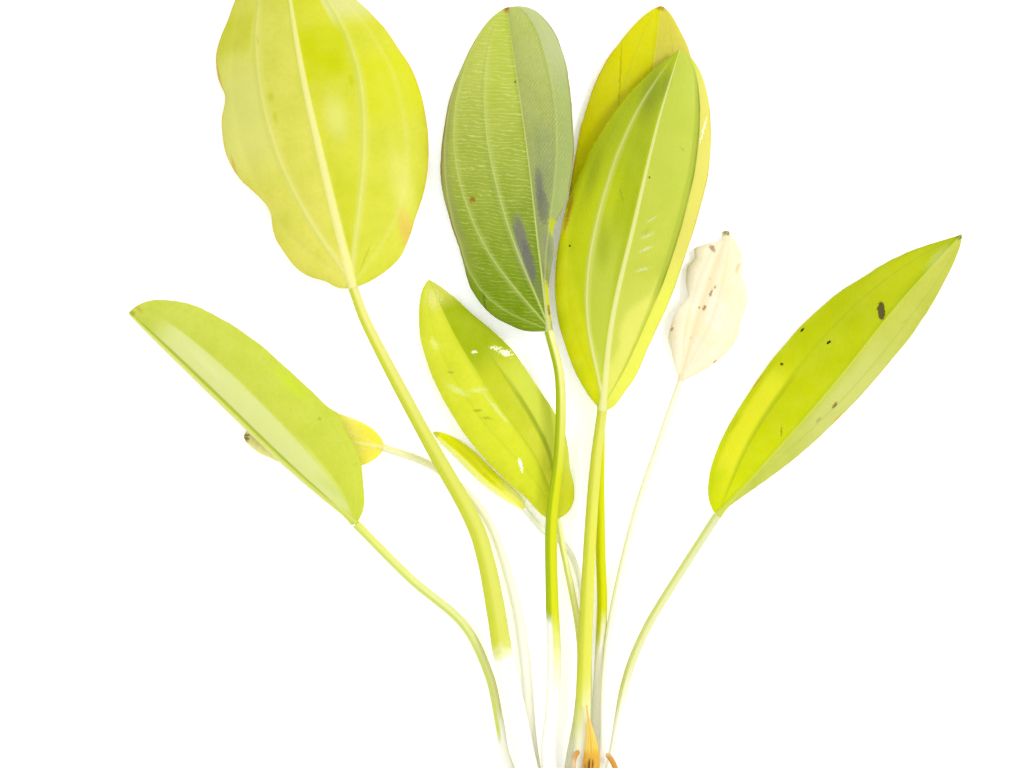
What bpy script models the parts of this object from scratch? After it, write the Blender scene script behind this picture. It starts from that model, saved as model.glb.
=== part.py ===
"""Amazon sword plant, bare-rooted, lying flat on a table.

Ten leaves fan out from one crown along +Y, roots trail along -Y, and +Z is up from the table.
Lengths below are in millimetres, as x, y and z from the crown, with z measured from the table.
Each leaf is a blade and a stalk. Blades are thin curved sheets, stalks and roots are tapered rods.
"""
import bisect
import math
from collections import namedtuple

import bmesh
import bpy
from mathutils import Vector

MM = 0.001

# Where the crown sits, so that the origin is on the table under the middle of the plant.
CROWN_X = 5.9
CROWN_Y = -117.0

GAP = 0.3               # clearance between neighbouring pieces
BLADE_THICKNESS = 0.7
SHEATH_THICKNESS = 0.5
RESTING_HEIGHT = 0.4    # lowest middle surface of a blade that lies on the table
SETTLE_DEPTH = 1.2      # height over which a drooping margin flattens onto the table
LEAF_TIP = 0.35         # half-width of a blade at its very tip
SEAM = 0.01             # points of a rolled-up rod that are closer than this are one point

CROWN_TOP = -6.0        # the plane, across +Y, that the stalks grow from
CROWN_END = -19.0       # the plane that the lowest roots grow from
CROWN_AXIS = Vector((0, -1, 0))
CROWN_SIDES = 20
CROWN_RINGS = 7
STALK_SIDES = 8
STALK_RINGS = 13
ROOT_SIDES = 6
ROOT_RINGS = 10

# One half of a blade, on the left or right of its midrib as the leaf grows.
#   reach: greatest half-width; peak: where that is, from base 0 to tip 1
#   blunt_base, blunt_tip: 0.5 is a round end, 1 a pointed one, 2 a hollow one
#   tilt: slope away from the midrib in degrees, up is positive
#   curl: how far that slope has turned where the curl ends
#   curl_end: share of the half over which it curls, 1 for all of it
#   waves: bays and bulges of the margin, each a depth, a place and a spread
Half = namedtuple("Half", "reach peak blunt_base blunt_tip tilt curl curl_end waves",
                  defaults=((),))

# A leaf. The midrib and the stalk are points along the growth, the stalk's from blade to crown.
#   stalk_top, stalk_base: half-widths of the stalk; flatness: its height over its width at the base
#   ruffle: rise and fall of the margins; along, across: faces of the blade each way
Leaf = namedtuple("Leaf", "name colour midrib left right stalk stalk_top stalk_base flatness"
                          " ruffle along across")

LEAVES = [
    Leaf("broad_leaf", (0.62, 0.66, 0.05),
         [(-73, 175, 8), (-82.5, 214, 11), (-91, 252, 10), (-97.5, 292, 2)],
         Half(32.8, 0.50, 0.54, 0.54, 4, -32, 1,
              ((-6.3, 0.285, 0.08), (-1.2, 0.16, 0.05), (-2.6, 0.615, 0.04),
               (1.2, 0.74, 0.05), (0.8, 0.47, 0.05), (-2.2, 0.035, 0.022), (-0.6, 0.85, 0.05))),
         Half(40.3, 0.50, 0.50, 0.92, 4, -34, 1,
              ((0.4, 0.40, 0.15), (-1.1, 0.16, 0.05), (1.0, 0.05, 0.03), (-0.6, 0.65, 0.06))),
         [(-67, 160, 8.3), (-48.7, 125.3, 8.5), (-32, 95.5, 9), (-26.6, 80, 9.4),
          (-23.2, 63, 9.8), (-20.4, 46, 10), (-16, 26, 10.3), (-12.7, 9, 10.8),
          (-8.8, CROWN_TOP, 11.3)],
         1.7, 4.2, 0.68, 1.2, 34, 6),
    Leaf("dark_leaf", (0.22, 0.36, 0.05),
         [(-4.6, 160, 10.5), (-8.3, 190, 9.5), (-12.5, 226, 8), (-19.3, 273, 5)],
         Half(30.8, 0.48, 0.38, 0.70, 8, -26, 1,
              ((-0.8, 0.03, 0.02), (0.8, 0.09, 0.05), (1.0, 0.165, 0.05), (-0.8, 0.28, 0.08),
               (0.9, 0.50, 0.10), (-0.7, 0.86, 0.08))),
         Half(20.6, 0.70, 2.2, 0.35, 36, -22, 1, ((-2.6, 0.31, 0.05), (-1.4, 0.66, 0.12))),
         [(-0.8, 143, 10.5), (-0.9, 119, 10.6), (-3.7, 93, 10.8), (-3.5, 66, 10.7),
          (-2.8, 50, 10.6), (-3.2, 30, 10.5), (-4.7, 11, 10.7), (-1.3, CROWN_TOP, 11.3)],
         1.5, 2.8, 0.95, 0.6, 22, 6),
    Leaf("front_leaf", (0.42, 0.56, 0.06),
         [(14, 132, 9.2), (17.5, 164, 10.5), (25, 197, 12.5), (33, 231, 12.5), (41, 258, 10)],
         Half(24.6, 0.46, 0.83, 0.92, 8, -30, 1, ((0.6, 0.54, 0.07), (-0.5, 0.16, 0.06))),
         Half(22.0, 0.64, 0.54, 0.56, 0, -20, 1,
              ((-0.9, 0.05, 0.03), (-0.9, 0.18, 0.12), (-0.6, 0.46, 0.12))),
         [(11.7, 113, 9.4), (9.6, 84, 9.8), (8, 51, 10), (6.8, 14, 10.6), (4.9, CROWN_TOP, 11.3)],
         1.75, 3.0, 0.85, 0.6, 20, 6),
    Leaf("yellow_leaf", (0.68, 0.62, 0.02),
         [(14, 145, 4.3), (20, 180, 4.8), (28.5, 226, 5), (34.7, 273.5, 4)],
         Half(22.8, 0.50, 1.20, 0.68, 6, -22, 1, ((1.9, 0.80, 0.12), (0.9, 0.64, 0.08))),
         Half(18.6, 0.53, 1.0, 0.58, 4, -20, 1,
              ((-6.0, 0.155, 0.055), (0.8, 0.86, 0.06), (-0.6, 0.96, 0.04))),
         [(13.3, 112, 4.3), (13.5, 84, 4.4), (14, 62, 4.6), (12.6, 34, 4.6), (11.2, 12, 4.6),
          (7.5, CROWN_TOP, 5)],
         1.4, 2.1, 1.0, 0.5, 22, 6),
    Leaf("centre_leaf", (0.52, 0.60, 0.03),
         [(-1.5, 94.3, 5.2), (-8.6, 114.5, 5.6), (-23, 135.5, 6.4), (-36.5, 156.5, 5.5),
          (-46.6, 177.8, 2.5)],
         Half(15.9, 0.47, 0.52, 0.62, 12, -30, 1, ((-1.3, 0.09, 0.07),)),
         Half(14.7, 0.42, 0.42, 0.82, 2, -20, 1, ((1.4, 0.65, 0.14), (-2.3, 0.16, 0.08))),
         [(0.5, 83, 5.1), (5, 61, 5.4), (6.5, 46, 5.6), (5.6, 28, 5.6), (2.6, 10, 5.1),
          (0.2, CROWN_TOP, 5)],
         1.0, 1.4, 1.0, 0.5, 20, 6),
    Leaf("folded_leaf", (0.55, 0.58, 0.03),
         [(-13.3, 98, 1.7), (-25.5, 107, 1.5), (-36, 117, 1.3), (-45, 124.6, 0.8)],
         Half(1.9, 0.50, 0.35, 0.50, 0, -10, 1), Half(4.3, 0.55, 0.40, 0.60, 6, 0, 1),
         [(-7, 90.5, 1.6), (1.3, 84.5, 1.5), (6.3, 72.8, 1.7), (9, 50, 2), (9.2, 28, 2.2),
          (6.8, 10, 2.9), (3.7, CROWN_TOP, 3.6)],
         0.9, 1.4, 1.0, 0.2, 12, 4),
    Leaf("faded_leaf", (0.86, 0.74, 0.52),
         [(41.5, 142.5, 3.5), (45.5, 158, 5), (51, 176, 4.5), (58, 195, 1.5)],
         Half(9.0, 0.45, 0.90, 0.60, 12, -40, 1,
              ((0.9, 0.24, 0.06), (-3.2, 0.52, 0.07), (1.4, 0.70, 0.05), (2.6, 0.82, 0.04),
               (-3.2, 0.93, 0.03), (-0.7, 0.41, 0.05))),
         Half(16.5, 0.45, 0.90, 0.85, 8, -34, 1,
              ((-1.1, 0.48, 0.08), (0.9, 0.91, 0.05), (-1.1, 0.77, 0.05))),
         [(33.3, 118.7, 3), (25.2, 93.8, 3), (17.9, 62, 5), (15.2, 40, 8.2), (14.2, 12, 9.4),
          (9.7, CROWN_TOP, 10.3)],
         1.1, 1.6, 1.0, 0.9, 24, 6),
    Leaf("right_leaf", (0.50, 0.58, 0.03),
         [(54.3, 95.5, 4.5), (72.5, 115.5, 8.5), (95, 141.5, 11.5), (118, 170, 8.5),
          (139.7, 193.6, 1.2)],
         Half(23.6, 0.45, 0.50, 1.0, -6, -26, 1, ((-0.5, 0.28, 0.10), (-0.6, 0.74, 0.06))),
         Half(15.6, 0.62, 1.3, 0.72, -34, -26, 1, ((1.2, 0.23, 0.16), (0.9, 0.74, 0.10))),
         [(41.5, 75.6, 3.8), (29.5, 55.7, 3.4), (22.2, 37, 3.8), (17.4, 11, 4.8),
          (11.6, CROWN_TOP, 6.2)],
         1.4, 1.5, 1.0, 0.7, 20, 6),
    Leaf("left_leaf", (0.55, 0.62, 0.10),
         [(-72, 92.5, 5.6), (-95.4, 112.8, 7.4), (-122.7, 138.9, 6.6), (-151.5, 166.4, 1.8)],
         Half(17.6, 0.40, 0.50, 0.45, -20, -155, 0.22),
         Half(24.8, 0.38, 0.48, 0.43, 10, -32, 1,
              ((-2.0, 0.05, 0.05), (1.7, 0.275, 0.035), (1.2, 0.72, 0.18), (0.7, 0.87, 0.06))),
         [(-53, 73.5, 4), (-34.6, 57.6, 3.6), (-25.6, 40, 4.2), (-22, 24, 4.8), (-19.2, 10, 5.2),
          (-11, CROWN_TOP, 6)],
         1.5, 1.6, 1.0, 0.5, 20, 10),
    Leaf("hidden_leaf", (0.80, 0.70, 0.20),
         [(-62.5, 119.3, 1.2), (-80, 122, 1.0), (-97, 123.5, 1.0), (-111.3, 123, 0.6)],
         Half(11.0, 0.50, 0.50, 0.60, 0, -4, 1), Half(9.6, 0.50, 0.50, 0.70, 0, -4, 1),
         [(-43, 111.3, 2.0), (-26.6, 95, 2.2), (-17.5, 70, 2.6), (-13, 45, 3.4), (-10.4, 14, 4.2),
          (-6.3, CROWN_TOP, 4.5)],
         1.2, 2.1, 1.0, 0.2, 12, 4),
]

SHEATH = Leaf("dried_sheath", (0.72, 0.36, 0.08),
              [(9, -4.5, 15.6), (9.9, 7, 15.5), (10, 16, 15), (8.5, 29.5, 14.2)],
              Half(3.4, 0.30, 0.40, 1.80, -4, -40, 1), Half(3.4, 0.30, 0.40, 1.80, -4, -30, 1),
              [], 2.4, 2.4, 1.0, 0.1, 10, 4)

# Roots, as points from the crown outwards, with half-widths that taper from start to end. The
# first two are thick old ones that bend up beside the stalks, and the others leave its end.
ROOT_PLANE = CROWN_END - GAP
ROOT_TAPER = (0.8, 0.3)
OLD_ROOT_TAPER = (1.1, 0.9)
OLD_ROOTS = 2
ROOTS = [
    [(14.6, -10, 8.6), (18.4, -4, 9.6), (19.6, 3, 10.8), (18, 9, 12.6), (15.2, 12.6, 14)],
    [(0.5, -10, 15.7), (2.6, -2, 16.2), (3.6, 6, 16.2), (4.1, 11, 16), (5.8, 13.8, 15.6)],
    [(-4.8, ROOT_PLANE, 5.2), (-9, -28, 3.5), (-16, -38, 1.6), (-19, -49, 0.7)],
    [(-2.6, ROOT_PLANE, 3.3), (-3.5, -29, 1.6), (-1.5, -42, 1.2), (-4, -58, 0.7)],
    [(-2.4, ROOT_PLANE, 7.6), (-3.4, -28, 6.4), (-10, -39, 4), (-15.5, -56, 0.8)],
    [(0.4, ROOT_PLANE, 5.4), (1.4, -29, 4.2), (3.2, -43, 2), (2, -57, 0.7)],
    [(2.9, ROOT_PLANE, 3.3), (4.6, -31, 1.6), (9, -43, 1), (10.5, -55, 0.7)],
    [(2.9, ROOT_PLANE, 7.8), (5.6, -29, 6.8), (7.2, -41, 3.6), (6, -53, 0.8)],
    [(5.3, ROOT_PLANE, 5.4), (10, -28, 4), (15.5, -38, 2), (18, -51, 0.7)],
]
STALK_COLOUR = (0.72, 0.76, 0.30)
CROWN_COLOUR = (0.86, 0.80, 0.60)
ROOT_COLOUR = (0.55, 0.27, 0.07)


class Path:
    """A smooth curve through points, read by the share of its length from 0 to 1."""

    STEPS = 12

    def __init__(self, points):
        points = [Vector(point) for point in points]
        ends = [2 * points[0] - points[1]] + points + [2 * points[-1] - points[-2]]
        self.samples = []
        for before, start, end, after in zip(ends, ends[1:], ends[2:], ends[3:]):
            for step in range(self.STEPS):
                self.samples.append(curve_point(before, start, end, after, step / self.STEPS))
        self.samples.append(points[-1])
        self.lengths = [0.0]
        for start, end in zip(self.samples, self.samples[1:]):
            self.lengths.append(self.lengths[-1] + (end - start).length)
        self.length = self.lengths[-1]

    def at(self, share):
        distance = min(max(share, 0.0), 1.0) * self.length
        index = min(max(bisect.bisect(self.lengths, distance), 1), len(self.samples) - 1)
        span = self.lengths[index] - self.lengths[index - 1]
        part = (distance - self.lengths[index - 1]) / span
        return self.samples[index - 1].lerp(self.samples[index], part)

    def heading(self, share):
        nudge = 0.01
        return (self.at(share + nudge) - self.at(share - nudge)).normalized()


def curve_point(before, start, end, after, part):
    """Point between start and end on a Catmull-Rom curve."""
    linear = end - before
    square = 2 * before - 5 * start + 4 * end - after
    cube = 3 * start - before - 3 * end + after
    return start + (linear * part + square * part ** 2 + cube * part ** 3) / 2


def half_width(half, stalk_width, along):
    """Half-width of a blade: round or pointed ends on both sides of its widest place."""
    if along < half.peak:
        offset, power, least = (half.peak - along) / half.peak, half.blunt_base, stalk_width
    else:
        offset, power, least = (along - half.peak) / (1 - half.peak), half.blunt_tip, LEAF_TIP
    width = half.reach * max(1 - offset ** 2, 0.0) ** power
    for depth, place, spread in half.waves:
        width += depth * math.exp(-((along - place) / spread) ** 2)
    return max(width, least)


def walk_across(half, share):
    """How far out and up a share of the half-width leads, for a half that is 1 wide."""
    tilt = math.radians(half.tilt)
    turn = math.radians(half.curl) / half.curl_end
    arc = min(share, half.curl_end)
    slope = tilt + turn * arc
    out = arc * math.cos(tilt)
    up = arc * math.sin(tilt)
    if turn:
        out = (math.sin(slope) - math.sin(tilt)) / turn
        up = (math.cos(tilt) - math.cos(slope)) / turn
    straight = share - arc
    return out + straight * math.cos(slope), up + straight * math.sin(slope)


def settle(height):
    """Keep a drooping margin on the table instead of below it."""
    bend = RESTING_HEIGHT + SETTLE_DEPTH
    if height >= bend:
        return height
    return RESTING_HEIGHT + SETTLE_DEPTH * math.exp((height - bend) / SETTLE_DEPTH)


def blade_point(leaf, midrib, along, across):
    """Point of a blade's middle surface; across runs from -1, right margin, to 1, left margin."""
    half, sign = (leaf.left, 1) if across > 0 else (leaf.right, -1)
    share = abs(across)
    heading = midrib.heading(along)
    outward = Vector((-heading.y, heading.x, 0)).normalized() * sign
    out, up = walk_across(half, share)
    width = half_width(half, leaf.stalk_top, along)
    point = midrib.at(along) + outward * out * width
    point.z += up * width
    ripple = math.sin(2.5 * math.tau * along + sign) * math.sin(math.pi * along)
    point.z = settle(point.z + leaf.ruffle * share ** 2 * ripple)
    return point


def make_material(name, colour, roughness):
    material = bpy.data.materials.new(name)
    material.use_nodes = True
    shader = material.node_tree.nodes["Principled BSDF"]
    shader.inputs["Base Color"].default_value = (*colour, 1)
    shader.inputs["Roughness"].default_value = roughness
    return material


def make_object(name, bm, material, plant):
    bmesh.ops.recalc_face_normals(bm, faces=bm.faces)
    mesh = bpy.data.meshes.new(name)
    bm.to_mesh(mesh)
    bm.free()
    mesh.materials.append(material)
    mesh.shade_smooth()
    mesh.set_sharp_from_angle(angle=math.radians(50))
    piece = bpy.data.objects.new(name, mesh)
    bpy.context.collection.objects.link(piece)
    piece.parent = plant
    return piece


def make_blade(name, leaf, thickness, plant):
    """A sheet of the leaf's outline, cupped or folded about its midrib, with a real thickness."""
    midrib = Path(leaf.midrib)
    # A tight fold beside the midrib needs its columns closer together there.
    crowding = 1.5 if leaf.left.curl_end < 1 else 1.0
    bm = bmesh.new()
    bmesh.ops.create_grid(bm, x_segments=leaf.along, y_segments=leaf.across, size=1)
    for vert in bm.verts:
        # Rows are closer together at the ends, where the outline turns fastest.
        along = (1 + math.sin(vert.co.x * math.pi / 2)) / 2
        across = math.copysign(abs(vert.co.y) ** crowding, vert.co.y)
        vert.co = blade_point(leaf, midrib, along, across) * MM
    blade = make_object(name, bm, make_material(name, leaf.colour, 0.4), plant)
    solidify = blade.modifiers.new("Thickness", "SOLIDIFY")
    solidify.thickness = thickness * MM
    solidify.offset = 0
    return blade


def make_rod(name, path, size_at, rings, sides, material, plant, start=0.0, facing=(None, None)):
    """A closed rod along a path, with an oval section whose half-width and half-height vary.

    Facing gives the ways that its first and last end face, where they don't follow the path.
    """
    bm = bmesh.new()
    bmesh.ops.create_grid(bm, x_segments=rings - 1, y_segments=sides, size=1)
    for vert in bm.verts:
        # The grid is rolled up: its length runs along the path and its width runs once around.
        place = start + (1 - start) * (vert.co.x + 1) / 2
        angle = vert.co.y * math.pi
        heading = path.heading(place)
        if abs(vert.co.x) > 0.999:
            heading = facing[vert.co.x > 0] or heading
        sideways = heading.cross(Vector((0, 0, 1))).normalized()
        upward = sideways.cross(heading)
        wide, high = size_at(place)
        offset = sideways * wide * math.cos(angle) + upward * high * math.sin(angle)
        vert.co = (path.at(place) + offset) * MM
    bmesh.ops.remove_doubles(bm, verts=bm.verts, dist=SEAM * MM)
    bmesh.ops.holes_fill(bm, edges=bm.edges, sides=sides)
    return make_object(name, bm, material, plant)


def make_stalk(leaf, plant):
    """The leaf's stalk, from just below its blade to the crown, broader and flatter at the crown."""
    last = leaf.stalk[-1]
    path = Path([leaf.midrib[0]] + leaf.stalk[:-1] + [(last[0], last[1] + GAP, last[2])])

    def size_at(place):
        wide = leaf.stalk_top + (leaf.stalk_base - leaf.stalk_top) * place
        return wide, wide * (1 + (leaf.flatness - 1) * place)

    start = (GAP + BLADE_THICKNESS / 2) / path.length
    material = make_material(leaf.name + "_stalk", STALK_COLOUR, 0.45)
    make_rod(leaf.name + "_stalk", path, size_at, STALK_RINGS, STALK_SIDES, material, plant,
             start, (None, CROWN_AXIS))


def make_crown(plant):
    """A short tapering rootstock, flat where the stalks leave it and where the roots leave it."""
    path = Path([(0.3, CROWN_TOP, 7.6), (0.3, -12, 7), (0.2, CROWN_END, 5.6)])

    def size_at(place):
        return 13.8 - 6.6 * place ** 1.8, 7.2 - 2.6 * place ** 1.8

    material = make_material("crown", CROWN_COLOUR, 0.6)
    make_rod("crown", path, size_at, CROWN_RINGS, CROWN_SIDES, material, plant,
             facing=(CROWN_AXIS, CROWN_AXIS))


def make_roots(plant):
    material = make_material("root", ROOT_COLOUR, 0.7)
    for number, points in enumerate(ROOTS, start=1):
        thick, thin = OLD_ROOT_TAPER if number <= OLD_ROOTS else ROOT_TAPER

        def size_at(place, thick=thick, thin=thin):
            radius = thick + (thin - thick) * place
            return radius, radius

        make_rod(f"root_{number}", Path(points), size_at, ROOT_RINGS, ROOT_SIDES, material, plant,
                 facing=(CROWN_AXIS if points[0][1] == ROOT_PLANE else None, None))


def clear_scene():
    for item in list(bpy.data.objects):
        bpy.data.objects.remove(item, do_unlink=True)


def main():
    clear_scene()
    plant = bpy.data.objects.new("plant", None)
    plant.location = (CROWN_X * MM, CROWN_Y * MM, 0)
    bpy.context.collection.objects.link(plant)
    for leaf in LEAVES:
        make_blade(leaf.name + "_blade", leaf, BLADE_THICKNESS, plant)
        make_stalk(leaf, plant)
    make_crown(plant)
    make_blade("dried_sheath", SHEATH, SHEATH_THICKNESS, plant)
    make_roots(plant)


main()
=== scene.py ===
"""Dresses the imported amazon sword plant: blades, stalks, crown, dried sheath and roots."""
import bisect
import math
import random
from collections import namedtuple

import bmesh
import bpy
from mathutils import Matrix, Vector, noise
from mathutils.bvhtree import BVHTree


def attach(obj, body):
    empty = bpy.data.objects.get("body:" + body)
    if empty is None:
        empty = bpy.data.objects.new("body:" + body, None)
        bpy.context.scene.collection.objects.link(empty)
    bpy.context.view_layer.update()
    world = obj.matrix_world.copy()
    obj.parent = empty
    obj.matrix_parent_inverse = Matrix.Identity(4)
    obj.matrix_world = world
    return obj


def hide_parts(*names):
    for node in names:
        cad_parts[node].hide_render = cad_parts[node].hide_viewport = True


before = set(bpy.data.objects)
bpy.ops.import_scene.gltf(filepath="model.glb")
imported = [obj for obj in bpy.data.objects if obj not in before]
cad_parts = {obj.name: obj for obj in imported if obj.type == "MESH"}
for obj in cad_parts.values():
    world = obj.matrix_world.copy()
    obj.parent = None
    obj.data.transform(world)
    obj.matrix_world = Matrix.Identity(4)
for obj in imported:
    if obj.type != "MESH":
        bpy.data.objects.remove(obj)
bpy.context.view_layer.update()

bl_info = {
    "name": "Amazon sword plant",
    "version": (1, 0, 0),
    "blender": (4, 5, 0),
    "location": "3D View > Sidebar > Sword plant",
    "description": "Builds a bare-rooted amazon sword plant on its packed frame",
    "category": "Object",
}

MM = 0.001
UV_UNIT = 100.0         # the surface UV map counts in tenths of a metre
CROWN_X = 5.9           # where the crown is, in the frame
CROWN_Y = -117.0
CROWN_TOP = -6.0        # the plane, across +Y, that the stalks grow from
CROWN_END = -19.0       # the plane that the lowest roots grow from
RESTING_HEIGHT = 0.4    # lowest middle surface of a blade that lies on the table
SETTLE_DEPTH = 1.2      # height over which a drooping margin flattens onto the table
LEAF_TIP = 0.35         # half-width of a blade at its very tip
RIB_TIP = 0.16          # half-width of its midrib there
RIB_BASE = 1.35         # how much wider a midrib starts than it is half way up
RIB_FLARE = 0.05        # it narrows to that from the stalk's width over this share of the blade
STEM_FLARE = 0.035      # and from the stalk's height over this one
RIB_HEIGHT = 0.42       # how high a midrib stands on the upper side, as a share of its half-width
RIB_LEAST_DEPTH = 0.1   # how deep it still is below at the tip
PUCKER_ROOM = 9         # a blade bulges fully between veins that are this far apart,
PUCKER_HEIGHT = 0.45    # by this much where its pucker is 1
SHEATH_FOOT = 0.6       # half-thickness of the dried sheath where it starts
BLADE_LIFT = 0.04       # lowest point of a blade or a root over the table
STALK_LIFT = 0.05       # lowest point of a stalk
STALK_RIBS = 9          # fine ribs round a stalk
STALK_INSET = 4.0       # how far a stalk reaches into the crown
GROOVE_START = 0.55     # the groove on top of a stalk deepens from this share of its length
GROOVE_DEPTH = 0.30     # to this share of its thickness
GROOVE_ANGLE = 0.6      # and reaches this far round it either way, in radians
STALK_UNEVEN = 0.05     # how uneven its thickness is
CROWN_HIGH = 7.0        # height of the crown's middle where the stalks leave it
CROWN_LOW = 6.0         # and where the roots do
CROWN_WIDE = 13.2       # half its width where the stalks leave it,
CROWN_NARROWING = 6.2   # how much less that is at the lowest roots,
CROWN_THICK = 6.8       # and the same for its thickness
CROWN_THINNING = 2.4
CROWN_KNOBS = 0.05      # how knobbly it is, and how far its scars stand out
CROWN_RINGS = 0.025
SCAR_SPACING = 2.4      # old leaf scars ring the crown at this distance
SEAM = 0.002            # points of a rolled-up grid that are closer than this are one point
TABLE_REACH = 5         # the table reaches this far from its middle, in m
LAMP_SIZE = 0.5         # width of the soft light, in m
LAMP_PLACE = (1.1, 0.5, 1.3)    # its place, in m
FEWEST_ROWS = 50        # rows of points on a short blade
SHEATH_ROWS = 60
SEED = 7                # for the random draws of the side roots

# Sizes of the patterns on the surfaces, in mm.
LEAF_PATCH = 12.5       # patches of a deeper green
LEAF_MOTTLE = 1.67      # fine mottling
LEAF_CELL = 0.5         # cells, drawn coarser than real ones so that they show
LEAF_CLOUD = 7.14       # clouds of painted pale sheen
VEIN_SHADE_WIDTH = 1.2         # width of the painted shade line beside the midrib
RUNG_BEND = 3.33        # a cross vein bends at this distance,
RUNG_SWING = 3.5        # this far,
RUNG_BREAK = 1.33       # and has breaks of this size
RUNG_DRAWN_OUT = 0.45   # bends and breaks are drawn out across the blade by one over this
RUNG_WIDTH = 0.16       # how far a cross vein reaches either way, as a share of their spacing
MARK_WOBBLE = 1.11      # the edge of a mark wobbles at this distance
MARK_FRAY = 0.77        # and frays at this one
SHAKE = 0.6 / UV_UNIT   # how far it wobbles either way, on the surface map
STRAND_LENGTH = 16.7    # strands in the skin of a stalk
STRAND_WIDTH = 0.385
STALK_CLOUD = 7.14      # unevenness of the line where a stalk blanches
SCAR_BEND = 3.85        # a scar on the crown bends at this distance,
SCAR_SWING = 2.2        # this far,
SCAR_WIDTH = 0.45       # and fades out at this distance from its middle
RIND_WRINKLE = 1.43     # wrinkles and patches of the rind of a root
RIND_PATCH = 7.14

# Shares of red, green and blue that a blade keeps in its patches, and where it is shaded.
DEEPER = (0.84, 0.90, 0.40)
DARKER = (0.72, 0.82, 0.50)
# Colour of the painted pale sheen that lies over a blade in clouds.
PALE_SHEEN = "#EEF07A"

TISSUE_IOR = 1.42       # wax and watery cell walls
SOFT_GLOSS = 0.12       # specular level of every skin
RELIEF = 0.6            # strength of the bumps

# One half of a blade, on the left or right of its midrib as the leaf grows.
#   reach: greatest half-width; peak: where that is, from base 0 to tip 1
#   blunt_base, blunt_tip: 0.5 is a round end, 1 a pointed one, 2 a hollow one
#   tilt: slope away from the midrib in degrees; curl: how far it turns by curl_end
#   waves: bays and bulges of the margin, each a depth, a place and a spread
Half = namedtuple("Half", "reach peak blunt_base blunt_tip tilt curl curl_end waves",
                  defaults=((),))

# A side vein leaves the midrib at the base and closes in on a share of the half-width.
#   share: that share half way up; ease: how soon it gets there, as a share of the blade's
#   length; drift: how much further out it lies at the tip than at the base
Vein = namedtuple("Vein", "share ease strength drift", defaults=(0.0,))

# How a blade looks beside its outline.
#   rib: half-width of the midrib half way up; vein: half-width of a side vein
#   pucker: how strongly the blade bulges between its veins
#   cross: strength of the ladder of cross veins, and its slopes on the left and right
#   blotch: how strongly the patchy second colour shows; rim: strength of the margin's colour
#   lee: strength of the painted shade line along the left of each vein, away from the light
#   backed: how much darker the blade is where another leaf under it keeps the light out
Look = namedtuple("Look", "rib vein pucker left_veins right_veins cross blotch rim lee backed")

# A leaf. Its middle lines are points in mm, measured from the crown at the table's height: the
# midrib from its base to its tip, and the stalk from the blade down to the crown.
#   left, right: the halves of its blade; stalk_top, stalk_base: half-widths of its stalk
#   flatness: thickness of the stalk's base as a share of its width
#   ruffle: how far the margins ripple
Leaf = namedtuple("Leaf", "name slot stalk_slot midrib left right stalk stalk_top stalk_base"
                          " flatness ruffle look")

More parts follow.
